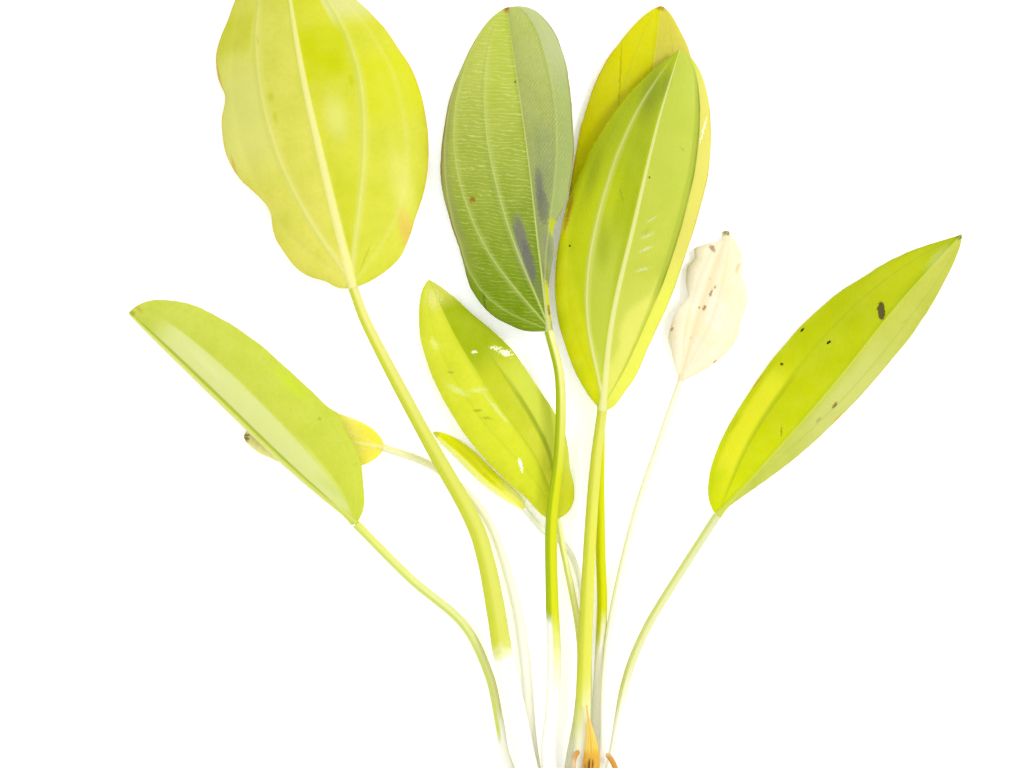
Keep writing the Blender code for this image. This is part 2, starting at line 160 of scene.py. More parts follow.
LEAVES = [
    Leaf("broad_leaf", "leaf_lime", "stalk_green",
         [(-73, 175, 8), (-82.5, 214, 11), (-91, 252, 10), (-97.5, 292, 2)],
         Half(32.8, 0.50, 0.54, 0.54, 4, -32, 1,
              ((-6.3, 0.285, 0.08), (-1.2, 0.16, 0.05), (-2.6, 0.615, 0.04),
               (1.2, 0.74, 0.05), (0.8, 0.47, 0.05), (-2.2, 0.035, 0.022), (-0.6, 0.85, 0.05))),
         Half(40.3, 0.50, 0.50, 0.92, 4, -34, 1,
              ((0.4, 0.40, 0.15), (-1.1, 0.16, 0.05), (1.0, 0.05, 0.03), (-0.6, 0.65, 0.06))),
         [(-67, 160, 8.3), (-48.7, 125.3, 8.5), (-32, 95.5, 9), (-26.6, 80, 9.4),
          (-23.2, 63, 9.8), (-20.4, 46, 10), (-16, 26, 10.3), (-12.7, 9, 10.8),
          (-8.8, CROWN_TOP, 11.3)],
         1.7, 4.2, 0.68, 1.2,
         Look(1.4, 0.9, 0.9, [Vein(0.51, 0.21, 0.6), Vein(0.82, 0.10, 0.10)],
              [Vein(0.68, 0.45, 0.6), Vein(0.80, 0.09, 0.22)],
              (0.06, 0.4, 0.4), 0.5, 0.5, 0.45, 0.0)),
    Leaf("dark_leaf", "leaf_dark_green", "stalk_green",
         [(-4.6, 160, 10.5), (-8.3, 190, 9.5), (-12.5, 226, 8), (-19.3, 273, 5)],
         Half(30.8, 0.48, 0.38, 0.70, 8, -26, 1,
              ((-0.8, 0.03, 0.02), (0.8, 0.09, 0.05), (1.0, 0.165, 0.05), (-0.8, 0.28, 0.08),
               (0.9, 0.50, 0.10), (-0.7, 0.86, 0.08))),
         Half(20.6, 0.70, 2.2, 0.35, 36, -22, 1, ((-2.6, 0.31, 0.05), (-1.4, 0.66, 0.12))),
         [(-0.8, 143, 10.5), (-0.9, 119, 10.6), (-3.7, 93, 10.8), (-3.5, 66, 10.7),
          (-2.8, 50, 10.6), (-3.2, 30, 10.5), (-4.7, 11, 10.7), (-1.3, CROWN_TOP, 11.3)],
         1.5, 2.8, 0.95, 0.6,
         Look(0.40, 0.28, 0.5,
              [Vein(0.58, 0.40, 0.85), Vein(0.92, 0.23, 0.75), Vein(0.97, 0.055, 0.5)],
              [Vein(0.66, 0.18, 0.6)], (0.8, 0.2, 0.95), 0.4, 0.7, 0.55, 0.0)),
    Leaf("front_leaf", "leaf_green", "stalk_green",
         [(14, 132, 9.2), (17.5, 164, 10.5), (25, 197, 12.5), (33, 231, 12.5), (41, 258, 10)],
         Half(24.6, 0.46, 0.83, 0.92, 8, -30, 1, ((0.6, 0.54, 0.07), (-0.5, 0.16, 0.06))),
         Half(22.0, 0.64, 0.54, 0.56, 0, -20, 1,
              ((-0.9, 0.05, 0.03), (-0.9, 0.18, 0.12), (-0.6, 0.46, 0.12))),
         [(11.7, 113, 9.4), (9.6, 84, 9.8), (8, 51, 10), (6.8, 14, 10.6),
          (4.9, CROWN_TOP, 11.3)],
         1.75, 3.0, 0.85, 0.6,
         Look(0.85, 0.45, 0.6, [Vein(0.54, 0.15, 0.95), Vein(0.86, 0.12, 0.0)],
              [Vein(0.74, 0.10, 0.0)], (0.14, 0.9, 1.1), 0.7, 0.4, 0.75, 0.6)),
    Leaf("yellow_leaf", "leaf_yellow", "stalk_green",
         [(14, 145, 4.3), (20, 180, 4.8), (28.5, 226, 5), (34.7, 273.5, 4)],
         Half(22.8, 0.50, 1.20, 0.68, 6, -22, 1, ((1.9, 0.80, 0.12), (0.9, 0.64, 0.08))),
         Half(18.6, 0.53, 1.0, 0.58, 4, -20, 1,
              ((-6.0, 0.155, 0.055), (0.8, 0.86, 0.06), (-0.6, 0.96, 0.04))),
         [(13.3, 112, 4.3), (13.5, 84, 4.4), (14, 62, 4.6), (12.6, 34, 4.6), (11.2, 12, 4.6),
          (7.5, CROWN_TOP, 5)],
         1.4, 2.1, 1.0, 0.5,
         Look(0.4, 0.25, 0.4, [Vein(0.50, 0.2, 0.2)], [Vein(0.55, 0.2, 0.2)],
              (0.05, 0.5, 0.7), 0.35, 0.8, 0.3, 0.0)),
    Leaf("centre_leaf", "leaf_bright_green", "stalk_green",
         [(-1.5, 94.3, 5.2), (-8.6, 114.5, 5.6), (-23, 135.5, 6.4), (-36.5, 156.5, 5.5),
          (-46.6, 177.8, 2.5)],
         Half(15.9, 0.47, 0.52, 0.62, 12, -30, 1, ((-1.3, 0.09, 0.07),)),
         Half(14.7, 0.42, 0.42, 0.82, 2, -20, 1, ((1.4, 0.65, 0.14), (-2.3, 0.16, 0.08))),
         [(0.5, 83, 5.1), (5, 61, 5.4), (6.5, 46, 5.6), (5.6, 28, 5.6), (2.6, 10, 5.1),
          (0.2, CROWN_TOP, 5)],
         1.0, 1.4, 1.0, 0.5,
         Look(0.38, 0.25, 0.7, [Vein(0.52, 0.2, 0.15)], [Vein(0.62, 0.30, 0.15)],
              (0.06, 0.6, 0.8), 0.5, 0.35, 0.3, 0.0)),
    Leaf("folded_leaf", "leaf_bright_green", "stalk_green",
         [(-13.3, 98, 1.7), (-25.5, 107, 1.5), (-36, 117, 1.3), (-45, 124.6, 0.8)],
         Half(1.9, 0.50, 0.35, 0.50, 0, -10, 1), Half(4.3, 0.55, 0.40, 0.60, 6, 0, 1),
         [(-7, 90.5, 1.6), (1.3, 84.5, 1.5), (6.3, 72.8, 1.7), (9, 50, 2), (9.2, 28, 2.2),
          (6.8, 10, 2.9), (3.7, CROWN_TOP, 3.6)],
         0.9, 1.4, 1.0, 0.2,
         Look(0.3, 0.2, 0.2, [Vein(0.5, 0.2, 0.2)], [Vein(0.5, 0.2, 0.2)],
              (0.04, 0.6, 0.6), 0.4, 0.4, 0.2, 0.0)),
    Leaf("faded_leaf", "leaf_faded", "stalk_pale",
         [(41.5, 142.5, 3.5), (45.5, 158, 5), (51, 176, 4.5), (58, 195, 1.5)],
         Half(9.0, 0.45, 0.90, 0.60, 12, -40, 1,
              ((0.9, 0.24, 0.06), (-3.2, 0.52, 0.07), (1.4, 0.70, 0.05), (2.6, 0.82, 0.04),
               (-3.2, 0.93, 0.03), (-0.7, 0.41, 0.05))),
         Half(16.5, 0.45, 0.90, 0.85, 8, -34, 1,
              ((-1.1, 0.48, 0.08), (0.9, 0.91, 0.05), (-1.1, 0.77, 0.05))),
         [(33.3, 118.7, 3), (25.2, 93.8, 3), (17.9, 62, 5), (15.2, 40, 8.2), (14.2, 12, 9.4),
          (9.7, CROWN_TOP, 10.3)],
         1.1, 1.6, 1.0, 0.9,
         Look(0.4, 0.75, 0.9, [Vein(0.42, 0.2, 0.28)],
              [Vein(0.34, 0.2, 0.35), Vein(0.68, 0.2, 0.2)],
              (0.0, 0.5, 0.5), 0.3, 0.3, 0.3, 0.0)),
    Leaf("right_leaf", "leaf_bright_green", "stalk_green",
         [(54.3, 95.5, 4.5), (72.5, 115.5, 8.5), (95, 141.5, 11.5), (118, 170, 8.5),
          (139.7, 193.6, 1.2)],
         Half(23.6, 0.45, 0.50, 1.0, -6, -26, 1, ((-0.5, 0.28, 0.10), (-0.6, 0.74, 0.06))),
         Half(15.6, 0.62, 1.3, 0.72, -34, -26, 1, ((1.2, 0.23, 0.16), (0.9, 0.74, 0.10))),
         [(41.5, 75.6, 3.8), (29.5, 55.7, 3.4), (22.2, 37, 3.8), (17.4, 11, 4.8),
          (11.6, CROWN_TOP, 6.2)],
         1.4, 1.5, 1.0, 0.7,
         Look(0.3, 0.25, 0.35, [Vein(0.57, 0.12, 0.12)], [Vein(0.6, 0.2, 0.04)],
              (0.06, 0.5, 0.7), 0.45, 0.35, 0.35, 0.0)),
    Leaf("left_leaf", "leaf_green", "stalk_green",
         [(-72, 92.5, 5.6), (-95.4, 112.8, 7.4), (-122.7, 138.9, 6.6), (-151.5, 166.4, 1.8)],
         Half(17.6, 0.40, 0.50, 0.45, -20, -155, 0.22),
         Half(24.8, 0.38, 0.48, 0.43, 10, -32, 1,
              ((-2.0, 0.05, 0.05), (1.7, 0.275, 0.035), (1.2, 0.72, 0.18), (0.7, 0.87, 0.06))),
         [(-53, 73.5, 4), (-34.6, 57.6, 3.6), (-25.6, 40, 4.2), (-22, 24, 4.8),
          (-19.2, 10, 5.2), (-11, CROWN_TOP, 6)],
         1.5, 1.6, 1.0, 0.5,
         Look(0.3, 0.3, 0.9, [], [Vein(0.38, 0.05, 0.25, 0.5), Vein(0.84, 0.05, 0.35)],
              (0.04, 0.5, 0.6), 0.35, 0.35, 0.0, 0.0)),
    Leaf("hidden_leaf", "leaf_yellow", "stalk_pale",
         [(-62.5, 119.3, 1.2), (-80, 122, 1.0), (-97, 123.5, 1.0), (-111.3, 123, 0.6)],
         Half(11.0, 0.50, 0.50, 0.60, 0, -4, 1), Half(9.6, 0.50, 0.50, 0.70, 0, -4, 1),
         [(-43, 111.3, 2.0), (-26.6, 95, 2.2), (-17.5, 70, 2.6), (-13, 45, 3.4),
          (-10.4, 14, 4.2), (-6.3, CROWN_TOP, 4.5)],
         1.2, 2.1, 1.0, 0.2,
         Look(0.5, 0.35, 0.2, [Vein(0.5, 0.2, 0.4)], [Vein(0.5, 0.2, 0.4)],
              (0.03, 0.6, 0.6), 0.3, 0.3, 0.2, 0.0)),
]

SHEATH = Leaf("dried_sheath", "dried_sheath", "",
              [(9, -4.5, 15.6), (9.9, 7, 15.5), (10, 16, 15), (8.5, 29.5, 14.2)],
              Half(3.4, 0.30, 0.40, 1.80, -4, -40, 1), Half(3.4, 0.30, 0.40, 1.80, -4, -30, 1),
              [], 2.4, 2.4, 1.0, 0.1,
              Look(0.3, 0.25, 0.25, [Vein(0.35, 0.1, 0.5), Vein(0.7, 0.1, 0.4)],
                   [Vein(0.35, 0.1, 0.5), Vein(0.7, 0.1, 0.4)], (0.0, 0.5, 0.5), 0.6, 0.4,
                   0.3, 0.0))

# A band of another colour, bounded by the veins.
#   start, end: its reach from base 0 to tip 1; inner, outer: its reach across, where 0 is the
#   midrib, 1 the first side vein, 2 the left margin, and -1 and -2 the same on the right
Band = namedtuple("Band", "start end inner outer colour amount fade soft", defaults=(0.06, 0.04))
BANDS = {
    "broad_leaf": [
        (0.61, 0.77, -1.02, -0.06, "#C9CE00", 0.95, 0.02),
        (0.46, 0.66, -2, -1.05, "#D5D719", 0.75, 0.05),
        # Painted sheen on the right half near the tip.
        (0.78, 1.1, -2, -0.8, "#D9D997", 0.75, 0.04),
        (0.73, 0.84, 1.15, 2.1, "#C0C42D", 0.7, 0.03),
        (0.02, 0.32, -1.0, -0.1, "#CBCF20", 0.6, 0.08),
        (0.4, 0.7, 1.05, 2.1, "#D3D580", 0.6, 0.08)],
    "dark_leaf": [
        # Painted sheen pales the outer strip of the steep right half.
        (0.32, 0.76, -2, -1, "#A8B86E", 0.85),
        (0.76, 1.1, -2, -1, "#C0C89C", 0.7, 0.1),
        (0.16, 0.4, 0.08, 0.95, "#5E7D14", 0.35, 0.1),
        # Painted shadow beside the right side vein.
        (0.36, 0.62, -1.0, -0.3, "#84946A", 0.45, 0.08, 0.12),
        (0.25, 0.85, 1.82, 2.1, "#98985E", 0.6, 0.1, 0.08),
        (0.7, 1.1, 0.0, 1.0, "#B4C43C", 0.35, 0.12)],
    "front_leaf": [
        (0.06, 0.5, 0.06, 0.95, "#CDD47F", 0.6, 0.08),
        # The next three bands are painted shade where the yellow leaf lies under the left half and
        # keeps the light out.
        (0.3, 0.95, 0.03, 0.22, "#7F9200", 0.5, 0.12, 0.08),
        (0.44, 0.78, 0.03, 0.62, "#869A08", 0.65, 0.12, 0.12),
        (0.66, 1.1, 0.05, 1.9, "#82922C", 0.7, 0.1, 0.1),
        (0.0, 0.36, -0.95, -0.05, "#DFE070", 0.75, 0.05),
        (0.36, 0.96, -2.1, -1.05, "#DCD56A", 0.85, 0.08, 0.03),
        (0.0, 0.42, -2.1, -1.05, "#E2E45A", 0.85, 0.08, 0.03),
        # Painted shade in the crease along the right side vein.
        (0.34, 0.95, -1.1, -0.9, "#74840A", 0.9, 0.05, 0.04),
        (0.03, 0.36, -1.03, -0.97, "#A39C26", 0.6, 0.04, 0.02)],
    "yellow_leaf": [
        (0.3, 0.8, -2, -1, "#E9E08C", 0.8, 0.15),
        # Painted light: a brighter yellow where the front leaf's shadow falls on the left half.
        (0.12, 0.62, 0.7, 2.1, "#EEEA00", 0.8, 0.1, 0.1)],
    "centre_leaf": [
        (0.62, 0.92, -2, -0.03, "#9FB200", 0.8, 0.06),
        (0.1, 0.58, -2, -1.05, "#D4DC50", 0.8, 0.08),
        (0.02, 0.14, -2, -0.6, "#CCD000", 0.7, 0.05, 0.2),
        # Painted shade along the crease at the right side vein.
        (0.06, 0.5, -1.14, -0.94, "#8C9F06", 0.75, 0.1, 0.06),
        (0.3, 0.85, -1.03, -0.97, "#A4AE3C", 0.5, 0.08, 0.02),
        (0.9, 1.1, -2, 0.9, "#D6D468", 0.7, 0.04)],
    "folded_leaf": [
        (0.2, 0.8, -0.9, -0.1, "#CBCB00", 0.6, 0.12, 0.2),
        (-0.1, 0.24, -2, 2, "#F6F6A0", 0.6, 0.12)],
    "faded_leaf": [
        (0.1, 0.9, -0.35, 0.35, "#E9DCB0", 0.5, 0.1, 0.2)],
    "right_leaf": [
        (0.08, 0.4, 1.03, 1.75, "#E6E42C", 0.8, 0.06, 0.12),
        (0.05, 0.42, 0.93, 1.03, "#8E9F00", 0.45, 0.06, 0.05),
        (0.72, 0.92, 0.2, 1.8, "#C2C91A", 0.6, 0.08, 0.3),
        # Painted sheen on the pale right half.
        (0.3, 0.62, -1.9, -0.2, "#D0D284", 0.5, 0.12, 0.3)],
    "left_leaf": [
        # Painted sheen between the folded midrib and the first side vein.
        (0.04, 0.88, -1.0, -0.1, "#DDE19C", 0.8, 0.05),
        (0.03, 0.96, -0.14, -0.03, "#9CB01C", 0.7, 0.03, 0.03),
        (0.02, 0.3, -1.08, -0.97, "#D9E070", 0.8, 0.08, 0.03)],
    "hidden_leaf": [],
    "dried_sheath": [
        (0.3, 0.52, -2, 2, "#D99A2C", 0.7, 0.06)],
}

# A mark on a blade: its place along from 0 to 1 and across from -1, right, to 1, left,
# its half-length and half-width in mm, its colour, how soft its edge is, how strong it is,
# how far it is turned from the midrib in degrees, and how ragged it is.
Mark = namedtuple("Mark", "along across length width colour soft amount turn ragged",
                  defaults=(0, 0.3))
MARKS = {
    "broad_leaf": [
        (0.13, -0.88, 11, 4, "#E9B46C", 0.9, 0.5),
        (0.59, -0.42, 3.4, 1.6, "#C4C800", 0.7, 0.8),
        (0.59, 0.41, 3.0, 2.0, "#BFC42A", 0.9, 0.7),
        (0.53, 0.38, 3.0, 1.2, "#BFC42A", 0.9, 0.6),
        (0.76, 0.47, 2.6, 0.6, "#A8A82C", 0.9, 0.6),
        (0.66, -0.34, 9, 4.5, "#C4CA00", 0.9, 0.6),
        (0.49, -0.2, 13, 6.5, "#E0E18A", 0.9, 0.5, 0, 0.2),
        (0.26, -0.72, 20, 7, "#EEEA94", 0.95, 0.35, 0, 0.2),
        (0.075, 0.14, 8, 0.5, "#A9B020", 0.8, 0.5, 24),
        (0.075, -0.3, 8, 0.6, "#B4B81C", 0.8, 0.5, -36),
        (0.42, 0.97, 6, 1.0, "#C79A3A", 0.8, 0.5),
        (0.68, 0.98, 7, 1.0, "#C79A3A", 0.8, 0.5)],
    "dark_leaf": [
        (0.27, 0.21, 15, 3.6, "#8C9476", 0.9, 0.75, 3, 0.3),
        (0.3, 0.21, 8, 2.3, "#75716A", 0.4, 0.7, 6, 0.4),
        (0.215, 0.155, 9.5, 2.4, "#6E6A66", 0.4, 0.78, 6, 0.4),
        (0.13, 0.07, 6, 1.5, "#7C7C60", 0.9, 0.7, 6, 0.25),
        (0.43, -0.24, 10, 2.8, "#888B78", 0.9, 0.75, -4, 0.3),
        (0.455, -0.2, 6.5, 2.0, "#76756C", 0.5, 0.42, -4, 0.4),
        (0.38, -0.32, 7.5, 2.8, "#74736A", 0.4, 0.62, -3, 0.4),
        (0.26, -0.62, 9, 2.4, "#8E9672", 0.9, 0.7, 0, 0.3),
        (0.17, -0.4, 5, 1.4, "#8A8C60", 0.9, 0.75, 0, 0.3),
        (0.31, -1.0, 4.4, 1.9, "#C3CC14", 0.4, 0.95, 0, 0.2),
        (0.09, -0.75, 10, 1.5, "#D9D81C", 0.5, 0.95, 0, 0.3),
        (0.06, -0.62, 2.6, 0.9, "#93682A", 0.6, 0.9, 0, 0.5),
        (0.425, 0.68, 1.3, 1.2, "#A0611C", 0.5, 0.85, 0, 0.6),
        (0.77, 0.04, 0.6, 0.5, "#4C5A10", 0.5, 0.8),
        (1.0, 0.0, 2.6, 1.8, "#A85A1C", 0.7, 0.9),
        (0.1, 0.96, 9, 0.8, "#4E5A10", 0.8, 0.6, 0, 0.8)],
    "front_leaf": [
        (0.5, 0.94, 11, 1.2, "#A8661A", 0.8, 0.7),
        (0.415, 0.82, 0.6, 0.6, "#2C3208", 0.4, 0.95),
        (0.645, -0.07, 0.55, 0.5, "#4A5210", 0.5, 0.8),
        (0.58, 0.27, 5, 0.35, "#8A9A1C", 0.8, 0.6, 30, 0.2),
        # The next four marks are painted highlights, glints on the right half.
        (0.535, -0.26, 2.6, 0.5, "#DDE1CC", 0.8, 0.5, -45, 0.8),
        (0.49, -0.26, 3.2, 0.6, "#DDE1CC", 0.8, 0.55, -50, 0.8),
        (0.455, -0.3, 3.6, 0.7, "#DDE1CC", 0.8, 0.55, -55, 0.8),
        (0.4, -0.34, 3.4, 0.6, "#DDE1CC", 0.8, 0.5, -58, 0.8),
        (0.5, -0.22, 2.0, 1.1, "#A9B944", 0.8, 0.6, -40, 0.6),
        (0.42, -0.62, 5, 1.6, "#B9C24A", 0.9, 0.5, -10, 0.6),
        (0.74, -0.5, 1.6, 0.6, "#A9B04C", 0.8, 0.6, 60, 0.5),
        # Painted highlight: a white glint beside the crease.
        (0.81, -0.84, 5.5, 0.4, "#FFFDF2", 0.5, 0.85, 0, 0.9),
        # The last four marks are painted shade where the yellow leaf lies under the blade.
        (0.86, 0.42, 14, 5.5, "#7E8E26", 0.9, 0.7, 0, 0.12),
        (0.9, 0.14, 9, 2.6, "#7E8E2A", 0.9, 0.6, 0, 0.12),
        (0.62, 0.78, 16, 3.6, "#8E9E1C", 0.9, 0.5, 0, 0.12),
        (0.44, 0.36, 14, 3.6, "#98A80C", 0.9, 0.55, 10, 0.12)],
    "yellow_leaf": [
        (1.0, 0.0, 2.4, 2.4, "#A8621C", 0.8, 0.8),
        (0.8, 0.6, 18, 0.45, "#A09408", 0.8, 0.6, 4),
        # Painted highlight on the right margin.
        (0.66, -0.97, 6, 0.7, "#EEE9D0", 0.6, 0.5, 0, 0.9)],
    "centre_leaf": [
        # The first three marks are painted highlights, glints.
        (0.65, -0.72, 2.8, 1.0, "#F0F3C8", 0.6, 0.9, 40, 1.2),
        (0.618, -0.82, 2.5, 1.2, "#FBFBE8", 0.4, 0.95, 40, 1.2),
        (0.685, -0.23, 1.1, 0.7, "#F2F4DC", 0.3, 0.9, 60, 0.3),
        (0.93, 0.2, 5, 4, "#E2E48C", 0.9, 0.6, 0, 0.8),
        (0.78, 0.62, 3, 1.6, "#E6EAA0", 0.9, 0.5, 0, 0.8),
        # Painted highlight: a white glint.
        (0.242, 0.42, 3.2, 0.7, "#FFFFFF", 0.3, 0.95, -12, 0.4),
        # The next three marks are painted glare, streaks of sheen.
        (0.46, 0.1, 9, 0.9, "#E6EAA8", 0.8, 0.55, 4, 0.4),
        (0.6, 0.6, 6, 1.6, "#E6EAA8", 0.9, 0.45, 30, 0.6),
        (0.56, 0.2, 5, 1.2, "#E6EAA8", 0.9, 0.45, 60, 0.6),
        (0.667, 0.53, 1.6, 0.7, "#A3A83C", 0.7, 0.7, 50),
        (0.5, 0.47, 2.2, 0.8, "#97A616", 0.8, 0.7, 60),
        (0.46, 0.4, 2.4, 0.8, "#97A616", 0.8, 0.6, 50),
        (0.54, 0.15, 4.5, 0.8, "#D8DC78", 0.8, 0.5)],
    "folded_leaf": [
        (0.98, 0.0, 2.0, 1.4, "#9A9A4C", 0.8, 0.6)],
    "faded_leaf": [
        (0.632, -0.17, 0.9, 0.6, "#C09040", 0.7, 0.8),
        (0.588, -0.12, 1.7, 0.6, "#A87A28", 0.6, 0.85),
        (0.485, -0.08, 1.5, 0.8, "#A8802C", 0.6, 0.9),
        (0.477, 0.06, 0.7, 0.6, "#8A7A30", 0.7, 0.8),
        (0.67, 0.02, 0.6, 0.5, "#8A8A50", 0.7, 0.7),
        (0.297, 0.9, 1.0, 0.7, "#CC9444", 0.6, 0.9),
        (0.28, 0.02, 0.6, 0.6, "#9A8A40", 0.7, 0.7),
        (0.168, -0.97, 1.3, 0.7, "#E09A4A", 0.6, 0.8),
        (0.86, 0.45, 2.0, 0.9, "#A08040", 0.6, 0.8, 60, 0.6),
        (0.985, 0.1, 1.6, 1.4, "#8C7A3C", 0.6, 0.9, 0, 0.6),
        (0.8, -0.8, 3.0, 1.0, "#E9C07A", 0.8, 0.6)],
    "right_leaf": [
        (0.7, 0.17, 3.7, 1.5, "#564A2C", 0.25, 0.95, 43, 0.12),
        (0.53, 0.93, 1.0, 0.5, "#1E2008", 0.3, 1.0),
        (0.547, 0.47, 1.0, 0.5, "#1E2008", 0.3, 1.0),
        (0.91, 0.1, 9, 2.4, "#CDD48C", 0.9, 0.35, 0, 0.2),
        (0.07, 0.72, 8, 3.6, "#CAD60C", 0.9, 0.6, 0, 0.3),
        (0.21, 0.92, 7, 1.5, "#C4C81C", 0.9, 0.6, 0, 0.4),
        (0.42, 0.82, 0.8, 0.7, "#4A3208", 0.5, 0.95),
        (0.427, -0.45, 1.8, 1.1, "#7A5A12", 0.6, 0.85),
        (0.405, -0.93, 3.4, 1.4, "#DFA02A", 0.8, 0.8),
        (0.37, -0.38, 2.0, 1.0, "#9A9A58", 0.8, 0.65),
        (0.282, 0.15, 2.8, 0.4, "#7F8F00", 0.7, 0.75, 40),
        (0.34, 0.98, 4.0, 0.8, "#D08A1C", 0.8, 0.6),
        (0.72, -0.45, 2.6, 0.35, "#8C9420", 0.8, 0.5, -20),
        (0.995, 0.0, 2.2, 1.4, "#4E5A18", 0.7, 0.9)],
    "left_leaf": [
        (0.985, -0.5, 3, 1.0, "#C8A040", 0.9, 0.6),
        (0.7, -0.25, 12, 2.2, "#E2E8B4", 0.9, 0.3, 0, 0.2),
        (0.99, -0.1, 1.6, 1.4, "#8C9A3C", 0.8, 0.6),
        (0.315, -0.78, 1.1, 0.9, "#A2AE1C", 0.8, 0.6),
        (0.13, -0.22, 11, 2.6, "#C4D468", 0.9, 0.5, 0, 0.1),
        (0.46, -0.86, 13, 3.4, "#C6DC10", 0.9, 0.6, 0, 0.15)],
    "hidden_leaf": [
        (0.985, 0.1, 2.0, 2.2, "#6E4A12", 0.7, 0.9, 0, 0.6),
        (0.86, 0.1, 9, 6, "#CFC24E", 0.9, 0.5)],
    "dried_sheath": [
        (0.38, 0.05, 3.4, 1.7, "#6A4218", 0.7, 0.95, 0, 0.2),
        (0.36, 0.6, 3.4, 0.7, "#A8702C", 0.9, 0.8, 0, 0.3),
        (0.3, -0.7, 4, 0.8, "#B4782C", 0.9, 0.8, 0, 0.3),
        (0.92, -0.1, 3, 0.8, "#F2E6A8", 0.9, 0.6)],
}

ROOT_PLANE = CROWN_END - 0.3    # where the solids of the young roots start, clear of the crown
ROOT_INSET = 3.0                # how far a root reaches back into the crown
ROOT_TAPER = (0.8, 0.3)         # radius at the crown and at the tip
OLD_ROOT_TAPER = (1.1, 0.9)
OLD_ROOTS = 2                   # the first roots of the list are old and corky
ROOT_GRID = (40, 10)            # rings along a root and points round it
ROOTLET_GRID = (10, 5)
ROOT_WANDER = 0.3               # how far a root strays from its path
ROOT_UNEVEN = 0.16              # how uneven its thickness is
ROOT_END = 0.3                  # its last ring is this share as thick
ROOTLET_WANDER = 0.4
ROOTLET_START = (0.1, 0.85)     # side roots leave it between these shares of its length
ROOTLET_REACH = (6, 15)         # their length near the crown, shorter towards the tip
ROOTLET_TURN = (0.25, 0.9)      # how strongly they turn sideways,
ROOTLET_RISE = (-0.5, 0.25)     # and how strongly they rise
OLD_ROOTLETS = 0.3              # how long they are on an old root, as a share
ROOTLET_LIFT = 0.25             # lowest middle of a side root over the table
ROOTS = [
    [(14.6, -10, 8.6), (18.4, -4, 9.6), (19.6, 3, 10.8), (18, 9, 12.6), (15.2, 12.6, 14)],
    [(0.5, -10, 15.7), (2.6, -2, 16.2), (3.6, 6, 16.2), (4.1, 11, 16), (5.8, 13.8, 15.6)],
    [(-4.8, ROOT_PLANE, 5.2), (-9, -28, 3.5), (-16, -38, 1.6), (-19, -49, 0.7)],
    [(-2.6, ROOT_PLANE, 3.3), (-3.5, -29, 1.6), (-1.5, -42, 1.2), (-4, -58, 0.7)],
    [(-2.4, ROOT_PLANE, 7.6), (-3.4, -28, 6.4), (-10, -39, 4), (-15.5, -56, 0.8)],
    [(0.4, ROOT_PLANE, 5.4), (1.4, -29, 4.2), (3.2, -43, 2), (2, -57, 0.7)],
    [(2.9, ROOT_PLANE, 3.3), (4.6, -31, 1.6), (9, -43, 1), (10.5, -55, 0.7)],
    [(2.9, ROOT_PLANE, 7.8), (5.6, -29, 6.8), (7.2, -41, 3.6), (6, -53, 0.8)],
    [(5.3, ROOT_PLANE, 5.4), (10, -28, 4), (15.5, -38, 2), (18, -51, 0.7)],
]


def linear(code):
    """An sRGB hex colour as the linear colour that Blender works in."""
    shares = [int(code[place:place + 2], 16) / 255 for place in (1, 3, 5)]
    return tuple(share / 12.92 if share <= 0.04045 else ((share + 0.055) / 1.055) ** 2.4
                 for share in shares)


def colour(name, code):
    """A colour that a user can change."""
    return bpy.props.FloatVectorProperty(
        name=name, description=name + " in plain daylight", subtype="COLOR", size=3,
        min=0, max=1, default=linear(code))


def length(name, description, millimetres):
    """A size that a user can change."""
    return bpy.props.FloatProperty(
        name=name, description=description, subtype="DISTANCE", unit="LENGTH",
        precision=5, min=0, default=millimetres * MM)


class PlantSizes(bpy.types.PropertyGroup):
    """Sizes that change how the plant is detailed without changing its outline."""
    lamina: length("Blade thickness", "Thickness of a leaf blade between its veins", 0.42)
    vein_rise: length("Vein height", "How far a side vein stands out of the blade", 0.22)
    midrib_depth: length("Midrib depth", "How far the midrib stands out below the blade", 0.7)
    ladder: length("Cross vein spacing", "Distance from one cross vein to the next", 1.3)
    margin_wave: length("Margin wave", "Fine rise and fall along a blade's margin", 0.35)
    stalk_rib: length("Stalk rib depth", "Depth of the fine ribs along a stalk", 0.07)
    rootlet: length("Rootlet radius", "Radius of the fine side roots", 0.16)
    rootlets: bpy.props.IntProperty(
        name="Side roots", description="Fine side roots on each main root", min=0, default=16)


